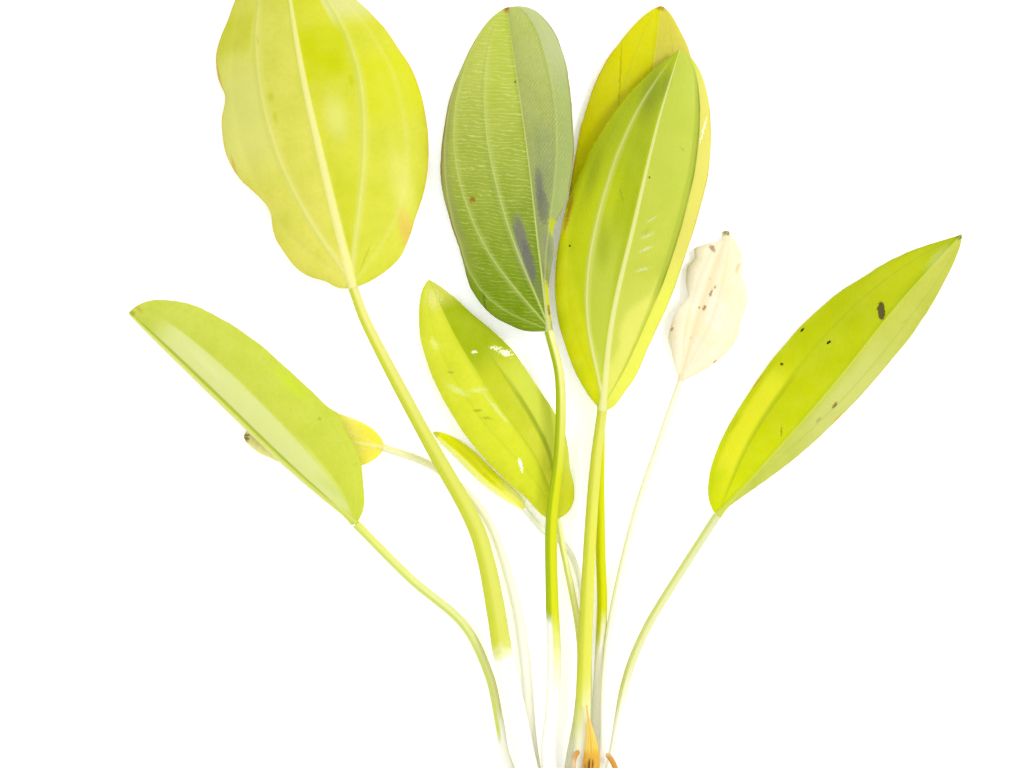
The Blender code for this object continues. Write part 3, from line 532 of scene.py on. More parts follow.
# The colours of a blade in plain daylight: its left half at the base and at the tip, its right
# half at the base and at the tip, its veins and its margin.
# The paler right halves of the dark and right leaves are painted sheen, and the near-white tips of
# the hidden leaf are painted light where the left leaf shades it.
BLADE_PARTS = ("left", "left_tip", "right", "right_tip", "rib", "rim")
BLADE_COLOURS = {
    "broad_leaf": "#DCD762 #CFCF5A #D8D848 #D1D232 #EAE69C #DBAF47",
    "dark_leaf": "#779100 #BEC65C #96A06E #B8C070 #D2D988 #89582D",
    "front_leaf": "#CED200 #C4CB10 #DBDA5A #CED45C #E3E29A #AF7F21",
    "yellow_leaf": "#D8D400 #D4D000 #E6DC78 #D1C84B #DAD56C #C78921",
    "centre_leaf": "#DADF2C #D6DA3B #DADC40 #BAC400 #C4CE21 #CDC839",
    "folded_leaf": "#F4F4A8 #F2F290 #EAEA10 #E6E600 #EEEE50 #DAD57F",
    "faded_leaf": "#F2EADA #F2EADE #F2E8E0 #F2E6D6 #EFDABA #EBDCBC",
    "right_leaf": "#D2D900 #A8B400 #C2C856 #C0C452 #C8D150 #CBBE2D",
    "left_leaf": "#E2E492 #E2E492 #CCD448 #C9D156 #D1D962 #BDC239",
    "hidden_leaf": "#F0E854 #F8F4C0 #F0E64E #F8F4C0 #F0EA90 #E4D050",
    "dried_sheath": "#F4DA5C #F4DC90 #F2D04C #F2D67C #E0A840 #F0E2B8",
}


class PlantColours(bpy.types.PropertyGroup):
    """Colours of the ten blades, the stalks and the base of the plant."""
    blanched: colour("Blanched stalk base", "#F6F5F0")
    crown: colour("Crown", "#D8D4C0")
    scars: colour("Old leaf scars on the crown", "#AE7D3C")
    root: colour("Roots near the crown", "#CD9640")
    root_end: colour("Root ends", "#D6CDAE")


for blade, codes in BLADE_COLOURS.items():
    for part, code in zip(BLADE_PARTS, codes.split()):
        PlantColours.__annotations__[blade + "_" + part] = colour(
            (blade + " " + part).replace("_", " ").capitalize(), code)


class StageSettings(bpy.types.PropertyGroup):
    """The table, the light and the camera."""
    table: colour("Table", "#FCFCFD")
    sky: bpy.props.FloatProperty(
        name="Fill light", description="Strength of the even light all round", min=0, default=1.28)
    glow: bpy.props.FloatProperty(
        name="Table light", description="How much light the table gives", min=0, default=0.2)
    key: bpy.props.FloatProperty(
        name="Key light", description="Power of the large soft light", unit="POWER",
        min=0, default=12)
    view_width: bpy.props.FloatProperty(
        name="Width in view", description="Width of table that the camera sees",
        subtype="DISTANCE", unit="LENGTH", min=0, default=0.3584)
    distance: bpy.props.FloatProperty(
        name="Camera distance", description="Height of the camera over the table",
        subtype="DISTANCE", unit="LENGTH", min=0.1, default=3.0)


class Path:
    """A smooth curve through points, read by the share of its length from 0 to 1."""

    STEPS = 16

    def __init__(self, points):
        points = [Vector(point) for point in points]
        ends = [2 * points[0] - points[1]] + points + [2 * points[-1] - points[-2]]
        self.samples = []
        for before, start, end, after in zip(ends, ends[1:], ends[2:], ends[3:]):
            for step in range(self.STEPS):
                self.samples.append(curve_point(before, start, end, after, step / self.STEPS))
        self.samples.append(points[-1])
        self.lengths = [0.0]
        for start, end in zip(self.samples, self.samples[1:]):
            self.lengths.append(self.lengths[-1] + (end - start).length)
        self.length = self.lengths[-1]

    def at(self, share):
        distance = min(max(share, 0.0), 1.0) * self.length
        index = min(max(bisect.bisect(self.lengths, distance), 1), len(self.samples) - 1)
        span = self.lengths[index] - self.lengths[index - 1]
        part = (distance - self.lengths[index - 1]) / span
        return self.samples[index - 1].lerp(self.samples[index], part)

    def heading(self, share):
        """The direction of the curve there, over a fiftieth of its length."""
        nudge = 0.01
        return (self.at(share + nudge) - self.at(share - nudge)).normalized()


def curve_point(before, start, end, after, part):
    """Point between start and end on a Catmull-Rom curve."""
    first = end - before
    square = 2 * before - 5 * start + 4 * end - after
    cube = 3 * start - before - 3 * end + after
    return start + (first * part + square * part ** 2 + cube * part ** 3) / 2


def half_width(half, stalk_width, along):
    """Half-width of a blade: round or pointed ends on both sides of its widest place."""
    if along < half.peak:
        offset, power, least = (half.peak - along) / half.peak, half.blunt_base, stalk_width
    else:
        offset, power, least = (along - half.peak) / (1 - half.peak), half.blunt_tip, LEAF_TIP
    width = half.reach * max(1 - offset ** 2, 0.0) ** power
    for depth, place, spread in half.waves:
        width += depth * math.exp(-((along - place) / spread) ** 2)
    return max(width, least)


def walk_across(half, share):
    """How far out and up a share of the half-width leads, and how steep it is there."""
    tilt = math.radians(half.tilt)
    turn = math.radians(half.curl) / half.curl_end
    arc = min(share, half.curl_end)
    slope = tilt + turn * arc
    out = arc * math.cos(tilt)
    up = arc * math.sin(tilt)
    if turn:
        out = (math.sin(slope) - math.sin(tilt)) / turn
        up = (math.cos(tilt) - math.cos(slope)) / turn
    straight = share - arc
    return out + straight * math.cos(slope), up + straight * math.sin(slope), slope


def settle(height):
    """Keep a drooping margin on the table instead of below it."""
    bend = RESTING_HEIGHT + SETTLE_DEPTH
    if height >= bend:
        return height
    return RESTING_HEIGHT + SETTLE_DEPTH * math.exp((height - bend) / SETTLE_DEPTH)


def rough(seed, *place):
    """Smooth unevenness from -1 to 1, the same on every run."""
    return noise.noise(Vector((*place, seed) if len(place) == 2 else (place[0], seed, seed)))


def add(tree, kind, *values, out=0, **settings):
    """Adds one shader node with its settings and links, and returns one of its outputs.

    Its inputs come in their order, or in a dict by the name or number of the socket.
    """
    made = tree.nodes.new("ShaderNode" + kind)
    for name, value in settings.items():
        setattr(made, name, value)
    by_name = values and isinstance(values[0], dict)
    for name, value in (values[0] if by_name else dict(enumerate(values))).items():
        if isinstance(value, bpy.types.NodeSocket):
            tree.links.new(value, made.inputs[name])
        elif isinstance(value, (tuple, list)) and made.inputs[name].type == "RGBA":
            made.inputs[name].default_value = (*value[:3], 1)
        else:
            made.inputs[name].default_value = value
    return made.outputs[out] if out is not None else made


def new_material(name):
    """A material without nodes, and its tree."""
    material = bpy.data.materials.new(name)
    material.use_nodes = True
    material.node_tree.nodes.clear()
    return material, material.node_tree


def lay_colours(tree, base, layers, blend="MIX"):
    """Lays colours over a base colour one after the other, each through its own mask."""
    for over, mask in layers:
        base = add(tree, "Mix", {0: mask, 6: base, 7: over}, out=2, data_type="RGBA",
                   blend_type=blend)
    return base


def window(tree, value, low, high, soft):
    """A mask that is 1 where a value lies between two limits, with soft ends."""
    rise = add(tree, "MapRange", value, low - soft, low + soft, interpolation_type="SMOOTHSTEP")
    fall = add(tree, "MapRange", value, high - soft, high + soft, 1.0, 0.0,
               interpolation_type="SMOOTHSTEP")
    return add(tree, "Math", rise, fall, operation="MULTIPLY")


def finish_material(material, base, height, tint, share_through, roughness, depth):
    """Skin with a soft gloss, mixed with light that comes through it from the other side."""
    tree = material.node_tree
    through = lay_colours(tree, base, [(tint, 1.0)], "MULTIPLY")
    bump = add(tree, "Bump", {"Height": height, "Distance": depth * MM, "Strength": RELIEF})
    skin = add(tree, "BsdfPrincipled", {
        "Base Color": base, "Roughness": roughness, "IOR": TISSUE_IOR,
        "Specular IOR Level": SOFT_GLOSS, "Normal": bump})
    glow = add(tree, "BsdfTranslucent", {"Color": through, "Normal": bump})
    mixed = add(tree, "MixShader", share_through, skin, glow)
    add(tree, "OutputMaterial", {"Surface": mixed}, out=None)
    return material


def read_maps(tree):
    """A point's place on the surface, in tenths of a metre, and its shares along and across."""
    place = add(tree, "SeparateXYZ", add(tree, "UVMap", uv_map="place"), out=None)
    return add(tree, "UVMap", uv_map="surface"), place.outputs[0], place.outputs[1]


def cross_veins(tree, look, sizes, surface, share, on_left):
    """Cross veins run between the side veins like the rungs of a ladder."""
    slopes = look.cross[1:]
    spot = add(tree, "SeparateXYZ", surface, out=None)
    slope = add(tree, "MapRange", {0: on_left, 3: -slopes[1], 4: -slopes[0]})
    off_rib = add(tree, "Math", spot.outputs[1], operation="ABSOLUTE")
    drawn_out = add(tree, "Mapping", {0: surface, "Scale": (1.0, RUNG_DRAWN_OUT, 1.0)})
    bends = add(tree, "TexNoise", {
        "Vector": drawn_out, "Scale": UV_UNIT / RUNG_BEND, "Detail": 3.0})
    rung = add(tree, "Math", off_rib, slope, spot.outputs[0], operation="MULTIPLY_ADD")
    rung = add(tree, "Math", bends, RUNG_SWING / UV_UNIT, rung, operation="MULTIPLY_ADD")
    spacing = sizes.ladder / MM / UV_UNIT
    rung = add(tree, "Math", rung, spacing / 2, operation="PINGPONG")
    rungs = add(tree, "MapRange", rung, 0.0, spacing * RUNG_WIDTH, 1.0, 0.0)
    inside = add(tree, "MapRange", share, 0.80, 0.97, 1.0, 0.0)
    rungs = add(tree, "Math", rungs, inside, operation="MULTIPLY")
    broken = add(tree, "TexNoise", {
        "Vector": drawn_out, "Scale": UV_UNIT / RUNG_BREAK, "Detail": 2.0})
    broken = add(tree, "MapRange", broken, 0.36, 0.56, 0.15, 1.0)
    return add(tree, "Math", rungs, broken, operation="MULTIPLY")


def band_layers(tree, name, along, zone):
    """The colour and mask of each band of another colour."""
    for band in (Band(*row) for row in BANDS[name]):
        lengthwise = window(tree, along, band.start, band.end, band.fade)
        crosswise = window(tree, zone, band.inner, band.outer, band.soft)
        mask = add(tree, "Math", lengthwise, crosswise, operation="MULTIPLY")
        mask = add(tree, "Math", mask, band.amount, operation="MULTIPLY")
        yield linear(band.colour), mask


def mark_layers(tree, leaf, length, surface):
    """The colour and mask of each mark. Their edges are ragged, because the map is shaken."""
    shake = add(tree, "TexNoise", {
        "Vector": surface, "Scale": UV_UNIT / MARK_WOBBLE, "Detail": 3.0}, out=1)
    ragged = add(tree, "TexNoise", {
        "Vector": surface, "Scale": UV_UNIT / MARK_FRAY, "Detail": 4.0})
    ragged = add(tree, "Math", ragged, 0.5, operation="SUBTRACT")
    shaken = add(tree, "VectorMath", shake, (2 * SHAKE, 2 * SHAKE, 0), surface,
                 operation="MULTIPLY_ADD")
    for mark in (Mark(*row) for row in MARKS[leaf.name]):
        half = leaf.left if mark.across > 0 else leaf.right
        width = half_width(half, leaf.stalk_top, mark.along)
        centre = (mark.along * length / UV_UNIT + SHAKE, mark.across * width / UV_UNIT + SHAKE, 0)
        scaled = add(tree, "Mapping", {
            0: shaken, "Location": centre, "Rotation": (0, 0, math.radians(mark.turn)),
            "Scale": (mark.length / UV_UNIT, mark.width / UV_UNIT, 1)}, vector_type="TEXTURE")
        far = add(tree, "VectorMath", scaled, out="Value", operation="LENGTH")
        far = add(tree, "Math", ragged, mark.ragged * 3, far, operation="MULTIPLY_ADD")
        mask = add(tree, "MapRange", far, 1 - mark.soft, 1.0, mark.amount, 0.0,
                   interpolation_type="SMOOTHSTEP")
        yield linear(mark.colour), mask


def leaf_material(leaf, colours, sizes, path):
    """Living leaf tissue: a thin waxy skin over watery green cells that let light through."""
    look = leaf.look
    # The cuticle is smooth wax, so the gloss is soft and even, and broken only by the veins.
    material, tree = new_material("waxy leaf tissue, " + leaf.name.replace("_", " "))
    surface, along, across = read_maps(tree)
    on_left = add(tree, "MapRange", across, 0.49, 0.51, interpolation_type="SMOOTHSTEP")
    share = add(tree, "Math", across, 2.0, -1.0, operation="MULTIPLY_ADD")
    share = add(tree, "Math", share, operation="ABSOLUTE")
    patches = add(tree, "TexNoise", {
        "Vector": surface, "Scale": UV_UNIT / LEAF_PATCH, "Detail": 3.0})
    mottle = add(tree, "TexNoise", {
        "Vector": surface, "Scale": UV_UNIT / LEAF_MOTTLE, "Detail": 2.0})
    cells = add(tree, "TexVoronoi", {"Vector": surface, "Scale": UV_UNIT / LEAF_CELL}, out=0)
    # Painted pale sheen lies over the tissue in clouds.
    clouds = add(tree, "TexNoise", {
        "Vector": surface, "Scale": UV_UNIT / LEAF_CLOUD, "Detail": 2.0})
    veins, backed, zone = (add(tree, "Attribute", out="Fac", attribute_name=name)
                           for name in ("vein", "backed", "zone"))

    left, left_tip, right, right_tip, rib, rim = (
        tuple(getattr(colours, leaf.name + "_" + part)) for part in BLADE_PARTS)
    # The halves change slowly from the base to the tip.
    grown = add(tree, "MapRange", along, 0.12, 0.92)
    on_right = add(tree, "Mix", {0: grown, 6: right, 7: right_tip}, out=2, data_type="RGBA")
    both = add(tree, "Mix", {0: grown, 6: left, 7: left_tip}, out=2, data_type="RGBA")
    both = lay_colours(tree, on_right, [(both, on_left)])
    deeper = lay_colours(tree, both, [(DEEPER, 1.0)], "MULTIPLY")
    darker = lay_colours(tree, both, [(DARKER, 1.0)], "MULTIPLY")
    paler = lay_colours(tree, both, [(linear(PALE_SHEEN), 0.35)])

    patch_mask = add(tree, "MapRange", patches, 0.42, 0.68, 0.0, look.blotch)
    mottle_mask = add(tree, "MapRange", mottle, 0.45, 0.75, 0.0, 0.35)
    sheen_clouds = add(tree, "MapRange", clouds, 0.40, 0.80, 0.0, 0.22)
    backed_mask = add(tree, "Math", backed, look.backed, operation="MULTIPLY")
    # Cross veins stand out more towards the tip.
    rungs = cross_veins(tree, look, sizes, surface, share, on_left)
    strength = look.cross[0]
    rung_mask = add(tree, "MapRange", along, 0.2, 0.6, strength * 0.4, strength)
    rung_mask = add(tree, "Math", rungs, rung_mask, operation="MULTIPLY")
    edge = add(tree, "MapRange", share, 0.965, 0.995, 0.0, look.rim)
    in_patches = add(tree, "MapRange", patches, 0.3, 0.6)
    edge = add(tree, "Math", edge, in_patches, operation="MULTIPLY")
    # Painted shade: a darker line runs along the left of the midrib and of each first side vein,
    # away from the light.
    off_rib = add(tree, "SeparateXYZ", surface, out="Y")
    lee = window(tree, off_rib, 0.0, VEIN_SHADE_WIDTH / UV_UNIT, VEIN_SHADE_WIDTH / UV_UNIT / 2)
    for low in (-1.0, 1.0):
        lee = add(tree, "Math", lee, window(tree, zone, low, low + 0.10, 0.05),
                  operation="MAXIMUM")
    lee = add(tree, "Math", lee, look.lee, operation="MULTIPLY")
    base = lay_colours(tree, both, [
        (deeper, patch_mask), (deeper, mottle_mask), *band_layers(tree, leaf.name, along, zone),
        (paler, sheen_clouds), (darker, backed_mask), (darker, lee), (rib, rung_mask), (rim, edge),
        *mark_layers(tree, leaf, path.length, surface), (rib, veins)])
    height = add(tree, "Math", rungs, cells, operation="ADD")
    dry = leaf.slot in ("leaf_faded", "dried_sheath")
    return finish_material(material, base, height, tint=(1.0, 1.0, 0.55), share_through=0.3,
                           roughness=0.62 if dry else 0.42, depth=0.05)


def stalk_material(leaf, colours):
    """Petiole: smooth skin over airy tissue, green above and blanched where it grew in the dark."""
    tints, blanch, blanch_left = STALK_TINTS[leaf.name]
    material, tree = new_material("airy leaf stalk, " + leaf.name.replace("_", " "))
    surface, along, around = read_maps(tree)
    # Strands run along the stalk.
    stretched = add(tree, "Mapping", {
        0: surface, "Scale": (UV_UNIT / STRAND_LENGTH, UV_UNIT / STRAND_WIDTH, 1)})
    strands = add(tree, "TexNoise", {"Vector": stretched, "Scale": 1.0, "Detail": 2.0})
    wander = add(tree, "TexNoise", {
        "Vector": surface, "Scale": UV_UNIT / STALK_CLOUD, "Detail": 2.0})
    top, middle, side = (linear(code) for code in tints)
    to_middle = add(tree, "MapRange", along, 0.0, 0.3)
    # Painted shade: the left side of the stalk, away from the light, is a deeper green.
    on_shaded_side = add(tree, "MapRange", around, 0.30, 0.52, 1.0, 0.0,
                  interpolation_type="SMOOTHSTEP")
    shaken = add(tree, "Math", wander, 0.05, along, operation="MULTIPLY_ADD")
    ends = [add(tree, "MapRange", shaken, low + 0.025, high + 0.025,
                interpolation_type="SMOOTHSTEP") for low, high in (blanch, blanch_left)]
    to_blanched = add(tree, "Mix", {0: on_shaded_side, 2: ends[0], 3: ends[1]}, out=0)
    streak = add(tree, "MapRange", strands, 0.45, 0.8, 0.0, 0.35)
    base = lay_colours(tree, top, [
        (middle, to_middle), (side, on_shaded_side), (middle, streak),
        (tuple(colours.blanched), to_blanched)])
    return finish_material(material, base, strands, tint=(1.0, 1.0, 0.6), share_through=0.25,
                           roughness=0.36, depth=0.06)


def hash_seed(name):
    """A number for a name, the same on every run."""
    return sum(ord(letter) * (place + 1) for place, letter in enumerate(name)) % 97


def vein_shares(veins, along, bend):
    """The share of the half-width at which each side vein of a half lies."""
    return [min(vein.share * (1 - math.exp(-along / vein.ease)) * bend
                * (1 + vein.drift * (along - 0.5)), 0.97) for vein in veins]


def anchors(half, veins, rib_share, vein_share):
    """Shares of the half-width that columns of a blade's grid follow, from midrib to margin."""
    marks = [0.0, rib_share]
    if half.curl_end < 1:
        marks.append(half.curl_end)
    for middle in veins:
        marks += [middle - vein_share, middle, middle + vein_share]
    marks.append(1.0)
    least = 0.008
    for index in range(1, len(marks)):
        marks[index] = max(marks[index], marks[index - 1] + least)
    for index in range(len(marks) - 1, 0, -1):
        marks[index] = min(marks[index], 1 - least * (len(marks) - 1 - index))
    return marks


def spread(half, veins):
    """How many columns lie between one anchor and the next."""
    wide = 7 if len(veins) > 1 else 10
    counts = [3, 14] if half.curl_end < 1 else [3]
    return counts + [wide, 1, 1] * len(veins) + [wide]


def half_columns(marks, counts):
    """Shares of the half-width of all columns, spread evenly between the anchors."""
    shares = [0.0]
    for start, end, count in zip(marks, marks[1:], counts):
        shares += [start + (end - start) * step / count for step in range(1, count + 1)]
    return shares


def blade_row(leaf, path, along, seed):
    """All that the points of one row of a blade share: its place, widths and columns."""
    heading = path.heading(along)
    sideways = Vector((-heading.y, heading.x, 0)).normalized()
    look = leaf.look
    # The midrib narrows from the stalk's width within a few rows, then slowly to the tip.
    base_rib = RIB_BASE * look.rib
    flare = math.exp(-along / RIB_FLARE)
    rib = base_rib * (1 - along) ** 0.5 + (leaf.stalk_top - base_rib) * flare
    row = {"at": path.at(along), "rib": max(rib, RIB_TIP), "sides": {}}
    for sign, half, veins in ((1, leaf.left, look.left_veins), (-1, leaf.right, look.right_veins)):
        width = half_width(half, leaf.stalk_top, along)
        # Veins run on evenly past a bay in the margin.
        bend = half_width(half._replace(waves=()), leaf.stalk_top, along) / width
        if width > 3:
            # The margin is uneven by a quarter of a millimetre, away from the blade's ends.
            width += 0.25 * rough(seed + sign, along * 14) + 0.14 * rough(seed - sign, along * 47)
        vein_width = look.vein * (1.1 - 0.6 * along)
        shares = vein_shares(veins, along, bend)
        marks = anchors(half, shares, row["rib"] / width * 1.05, vein_width / width)
        columns = half_columns(marks, spread(half, veins))
        row["sides"][sign] = (half, veins, width, sideways * sign, columns, vein_width, shares)
    return row


def zone_at(shares, share):
    """Where a share of the half-width lies: 0 midrib, 1 first side vein, 2 margin."""
    if not shares:
        return 2 * share
    middle = max(shares[0], 0.02)
    return share / middle if share < middle else 1 + (share - middle) / (1 - middle)


def blade_point(leaf, row, along, side, column, top, sizes, seed):
    """A point of a blade's upper or lower skin, with the strength of the vein there."""
    half, veins, width, outward, columns, vein_width, shares = row["sides"][side]
    share = columns[column]
    out, up, slope = walk_across(half, share)
    point = row["at"] + outward * out * width
    point.z += up * width
    # Each margin ripples in two and a half long waves, with finer unevenness on them.
    ripple = math.sin(2.5 * math.tau * along + side) * math.sin(math.pi * along)
    fine = sizes.margin_wave / MM * rough(seed, along * 9, share * 1.5) * min(width / 8, 1)
    point.z = settle(point.z + leaf.ruffle * share ** 2 * ripple + fine * share ** 2)
    distance = share * width
    # Strength of side veins here, and how far between two of them the point lies.
    vein_here = 0.0
    stops = [row["rib"] / width]
    for vein, middle in zip(veins, shares):
        stops.append(middle)
        fade = min(max((1 - along) * 8, 0), 1) * vein.strength * (1 - 0.5 * along ** 2)
        vein_here = max(vein_here, fade * math.exp(-((share - middle) * width / vein_width) ** 2))
    stops.append(1.0)
    between = 0.0
    for start, end in zip(stops, stops[1:]):
        if start < share < end:
            room = (end - start) * width
            between = math.sin(math.pi * (share - start) / (end - start))
            between *= min(room / PUCKER_ROOM, 1)
    lamina = sizes.lamina / MM / 2 * math.sqrt(max(1 - share ** 10, 0.0))
    rib_here = math.sqrt(max(1 - (distance / row["rib"]) ** 2, 0.0))
    near_stalk = math.exp(-along / STEM_FLARE)
    stem = leaf.stalk_top if leaf.stalk else SHEATH_FOOT
    high = RIB_HEIGHT * row["rib"]
    rib_top = high + (stem - high) * near_stalk
    deep = sizes.midrib_depth / MM * (1 - along) + RIB_LEAST_DEPTH
    rib_under = deep + (stem - deep) * near_stalk
    rise = sizes.vein_rise / MM * vein_here
    bulge = leaf.look.pucker * between * PUCKER_HEIGHT
    normal = outward * -math.sin(slope) + Vector((0, 0, math.cos(slope)))
    if top:
        offset = max(lamina + rise * 0.7, rib_top * rib_here) + bulge
    else:
        offset = -max(lamina + rise, rib_under * rib_here) + bulge
    point += normal * offset
    point.z = max(point.z, BLADE_LIFT)
    return point, distance, share, max(vein_here, rib_here ** 0.5 * (1 - 0.35 * along ** 2))


def roll_grid(rings, sides):
    """A grid that is to be rolled up: its rows become rings, with the seam at both sides."""
    bm = bmesh.new()
    bmesh.ops.create_grid(bm, x_segments=rings, y_segments=sides, size=1)
    return bm


def close_up(bm, name):
    """Joins the seam of a rolled-up grid, closes its ends and turns its faces outwards."""
    bmesh.ops.remove_doubles(bm, verts=bm.verts, dist=SEAM * MM)
    open_edges = [edge for edge in bm.edges if edge.is_boundary]
    bmesh.ops.holes_fill(bm, edges=open_edges, sides=0)
    bmesh.ops.dissolve_degenerate(bm, edges=bm.edges, dist=1e-7)
    bmesh.ops.recalc_face_normals(bm, faces=bm.faces)
    mesh = bpy.data.meshes.new(name)
    bm.to_mesh(mesh)
    bm.free()
    mesh.shade_smooth()
    mesh.set_sharp_from_angle(angle=math.radians(75))
    return mesh


def place_piece(node, mesh, material, slot):
    """Puts a finished mesh in the place of the CAD node that it dresses."""
    mesh.transform(Matrix.Translation(ORIGIN))
    mesh.materials.append(material)
    piece = bpy.data.objects.new(node + "_skin", mesh)
    bpy.context.scene.collection.objects.link(piece)
    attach(piece, "root")
    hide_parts(node)


def write_maps(bm, maps):
    """Stores the surface and place maps, given for each vertex, on the corners of the faces."""
    surface = bm.loops.layers.uv.new("surface")
    place = bm.loops.layers.uv.new("place")
    for face in bm.faces:
        for loop in face.loops:
            on_surface, in_place = maps[loop.vert]
            loop[surface].uv = on_surface
            loop[place].uv = in_place


def below_finder(name):
    """What lies under a blade: the CAD solids of the other leaves, as trees to cast rays at."""
    trees = []
    for node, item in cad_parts.items():
        if node.startswith(name) or not node.endswith(("_blade", "_stalk")):
            continue
        mesh = item.data
        mesh.calc_loop_triangles()
        trees.append(BVHTree.FromPolygons([vert.co for vert in mesh.vertices],
                                          [tuple(tri.vertices) for tri in mesh.loop_triangles]))
    return trees


def make_blade(leaf, rows, sizes, colours, node):
    """A thin curved blade between two skins, with its midrib and side veins raised on both."""
    path = Path(leaf.midrib)
    seed = hash_seed(leaf.name)
    look = leaf.look
    left = sum(spread(leaf.left, look.left_veins))
    right = sum(spread(leaf.right, look.right_veins))
    bm = roll_grid(rows, 2 * (left + right))
    vein_layer = bm.verts.layers.float.new("vein")
    backed_layer = bm.verts.layers.float.new("backed")
    zone_layer = bm.verts.layers.float.new("zone")
    row_cache = {}
    maps = {}
    below = below_finder(leaf.name) if leaf.stalk else []
    for vert in bm.verts:
        line = round((vert.co.x + 1) / 2 * rows)
        step = round((vert.co.y + 1) * (left + right))
        along = (1 + math.sin((2 * line / rows - 1) * math.pi / 2)) / 2
        if line not in row_cache:
            row_cache[line] = blade_row(leaf, path, along, seed)
        # Steps run over the upper skin from the right margin to the left and back underneath.
        top = step <= left + right
        column = step - right if top else left - (step - left - right)
        side = 1 if column > 0 else -1
        point, distance, share, vein = blade_point(
            leaf, row_cache[line], along, side, abs(column), top, sizes, seed)
        vert.co = point * MM
        vert[vein_layer] = vein
        vert[zone_layer] = side * zone_at(row_cache[line]["sides"][side][-1], share)
        maps[vert] = ((along * path.length / UV_UNIT, side * distance / UV_UNIT),
                      (along, 0.5 + side * share / 2))
        if top and below:
            # The share of five rays around the point that meet another leaf.
            for off_x, off_y in ((0, 0), (1, 0), (-1, 0), (0, 1), (0, -1)):
                start = vert.co + Vector((CROWN_X + off_x, CROWN_Y + off_y, -0.5)) * MM
                vert[backed_layer] += 0.2 * any(
                    tree.ray_cast(start, Vector((0, 0, -1)))[0] is not None for tree in below)
    write_maps(bm, maps)
    mesh = close_up(bm, leaf.name)
    place_piece(node, mesh, leaf_material(leaf, colours, sizes, path), leaf.slot)


# How each stalk is coloured: at the blade, further down, and along its left side, where the deeper
# green is painted shade, the shares of its length between which it blanches, and those between
# which its left side does.
STALK_TINTS = {
    "broad_leaf": (("#E2DD8C", "#D4D662", "#CAD040"), (0.675, 0.71), (0.68, 0.71)),
    "dark_leaf": (("#ECE8A8", "#D2D61A", "#A4B810"), (0.56, 0.78), (0.57, 0.60)),
    "front_leaf": (("#D6D66A", "#DADA58", "#CBD040"), (0.62, 0.86), (0.66, 0.92)),
    "yellow_leaf": (("#D4D808", "#D2D600", "#CCD000"), (0.52, 0.62), (0.56, 0.66)),
    "centre_leaf": (("#EEEEA8", "#F0F0A4", "#DCE080"), (0.45, 0.75), (0.60, 0.95)),
    "folded_leaf": (("#F6F6E8", "#F6F6EE", "#F2F2E0"), (0.20, 0.60), (0.30, 0.70)),
    "faded_leaf": (("#EEEEDA", "#EEEEE0", "#ECECD0"), (0.45, 0.85), (0.45, 0.85)),
    "right_leaf": (("#D3D5AA", "#DADCA4", "#CCD17A"), (0.50, 0.72), (0.56, 0.78)),
    "left_leaf": (("#D8DC66", "#DEE09A", "#CCD670"), (0.66, 0.74), (0.72, 0.79)),
    "hidden_leaf": (("#E8E6A4", "#EEEEDC", "#ECEAC4"), (0.20, 0.60), (0.20, 0.60)),
}


def rod_frame(path, place):
    """The middle of a rod at a place along it, and the directions across it and upwards."""
    heading = path.heading(place)
    sideways = heading.cross(Vector((0, 0, 1))).normalized()
    return path.at(place), sideways, sideways.cross(heading)


def make_stalk(leaf, sizes, colours):
    """A stalk with fine ribs, grooved on top where it broadens into its sheathing base."""
    last = leaf.stalk[-1]
    # It ends inside the rootstock, where the CAD leaves a gap.
    end = (last[0] * 0.7, last[1] - STALK_INSET, (last[2] + CROWN_HIGH) / 2)
    path = Path([leaf.midrib[0], *leaf.stalk, end])
    rings, sides = 110, 24
    bm = roll_grid(rings, sides)
    maps = {}
    seed = hash_seed(leaf.name + "stalk")
    for vert in bm.verts:
        place = round((vert.co.x + 1) / 2 * rings) / rings
        angle = vert.co.y * math.pi
        centre, sideways, upward = rod_frame(path, place)
        wide = leaf.stalk_top + (leaf.stalk_base - leaf.stalk_top) * place
        high = wide * (1 + (leaf.flatness - 1) * place)
        rib = 1 + sizes.stalk_rib / MM / wide * math.cos(STALK_RIBS * angle)
        groove = GROOVE_DEPTH * max(place - GROOVE_START, 0) / (1 - GROOVE_START)
        groove *= math.exp(-((angle - math.pi / 2) / GROOVE_ANGLE) ** 2)
        uneven = 1 + STALK_UNEVEN * rough(seed, place * 9)
        vert.co = (centre + (sideways * wide * math.cos(angle)
                             + upward * high * math.sin(angle) * (1 - groove)) * rib * uneven)
        vert.co.z = max(vert.co.z, STALK_LIFT)
        vert.co *= MM
        # Seen from above, around runs from 0 on the picture's left to 1 on its right.
        around = 0.5 - math.cos(angle) / 2
        maps[vert] = ((place * path.length / UV_UNIT, abs(angle) * wide / UV_UNIT), (place, around))
    write_maps(bm, maps)
    mesh = close_up(bm, leaf.name + "_stalk")
    place_piece(leaf.name + "_stalk", mesh, stalk_material(leaf, colours), leaf.stalk_slot)


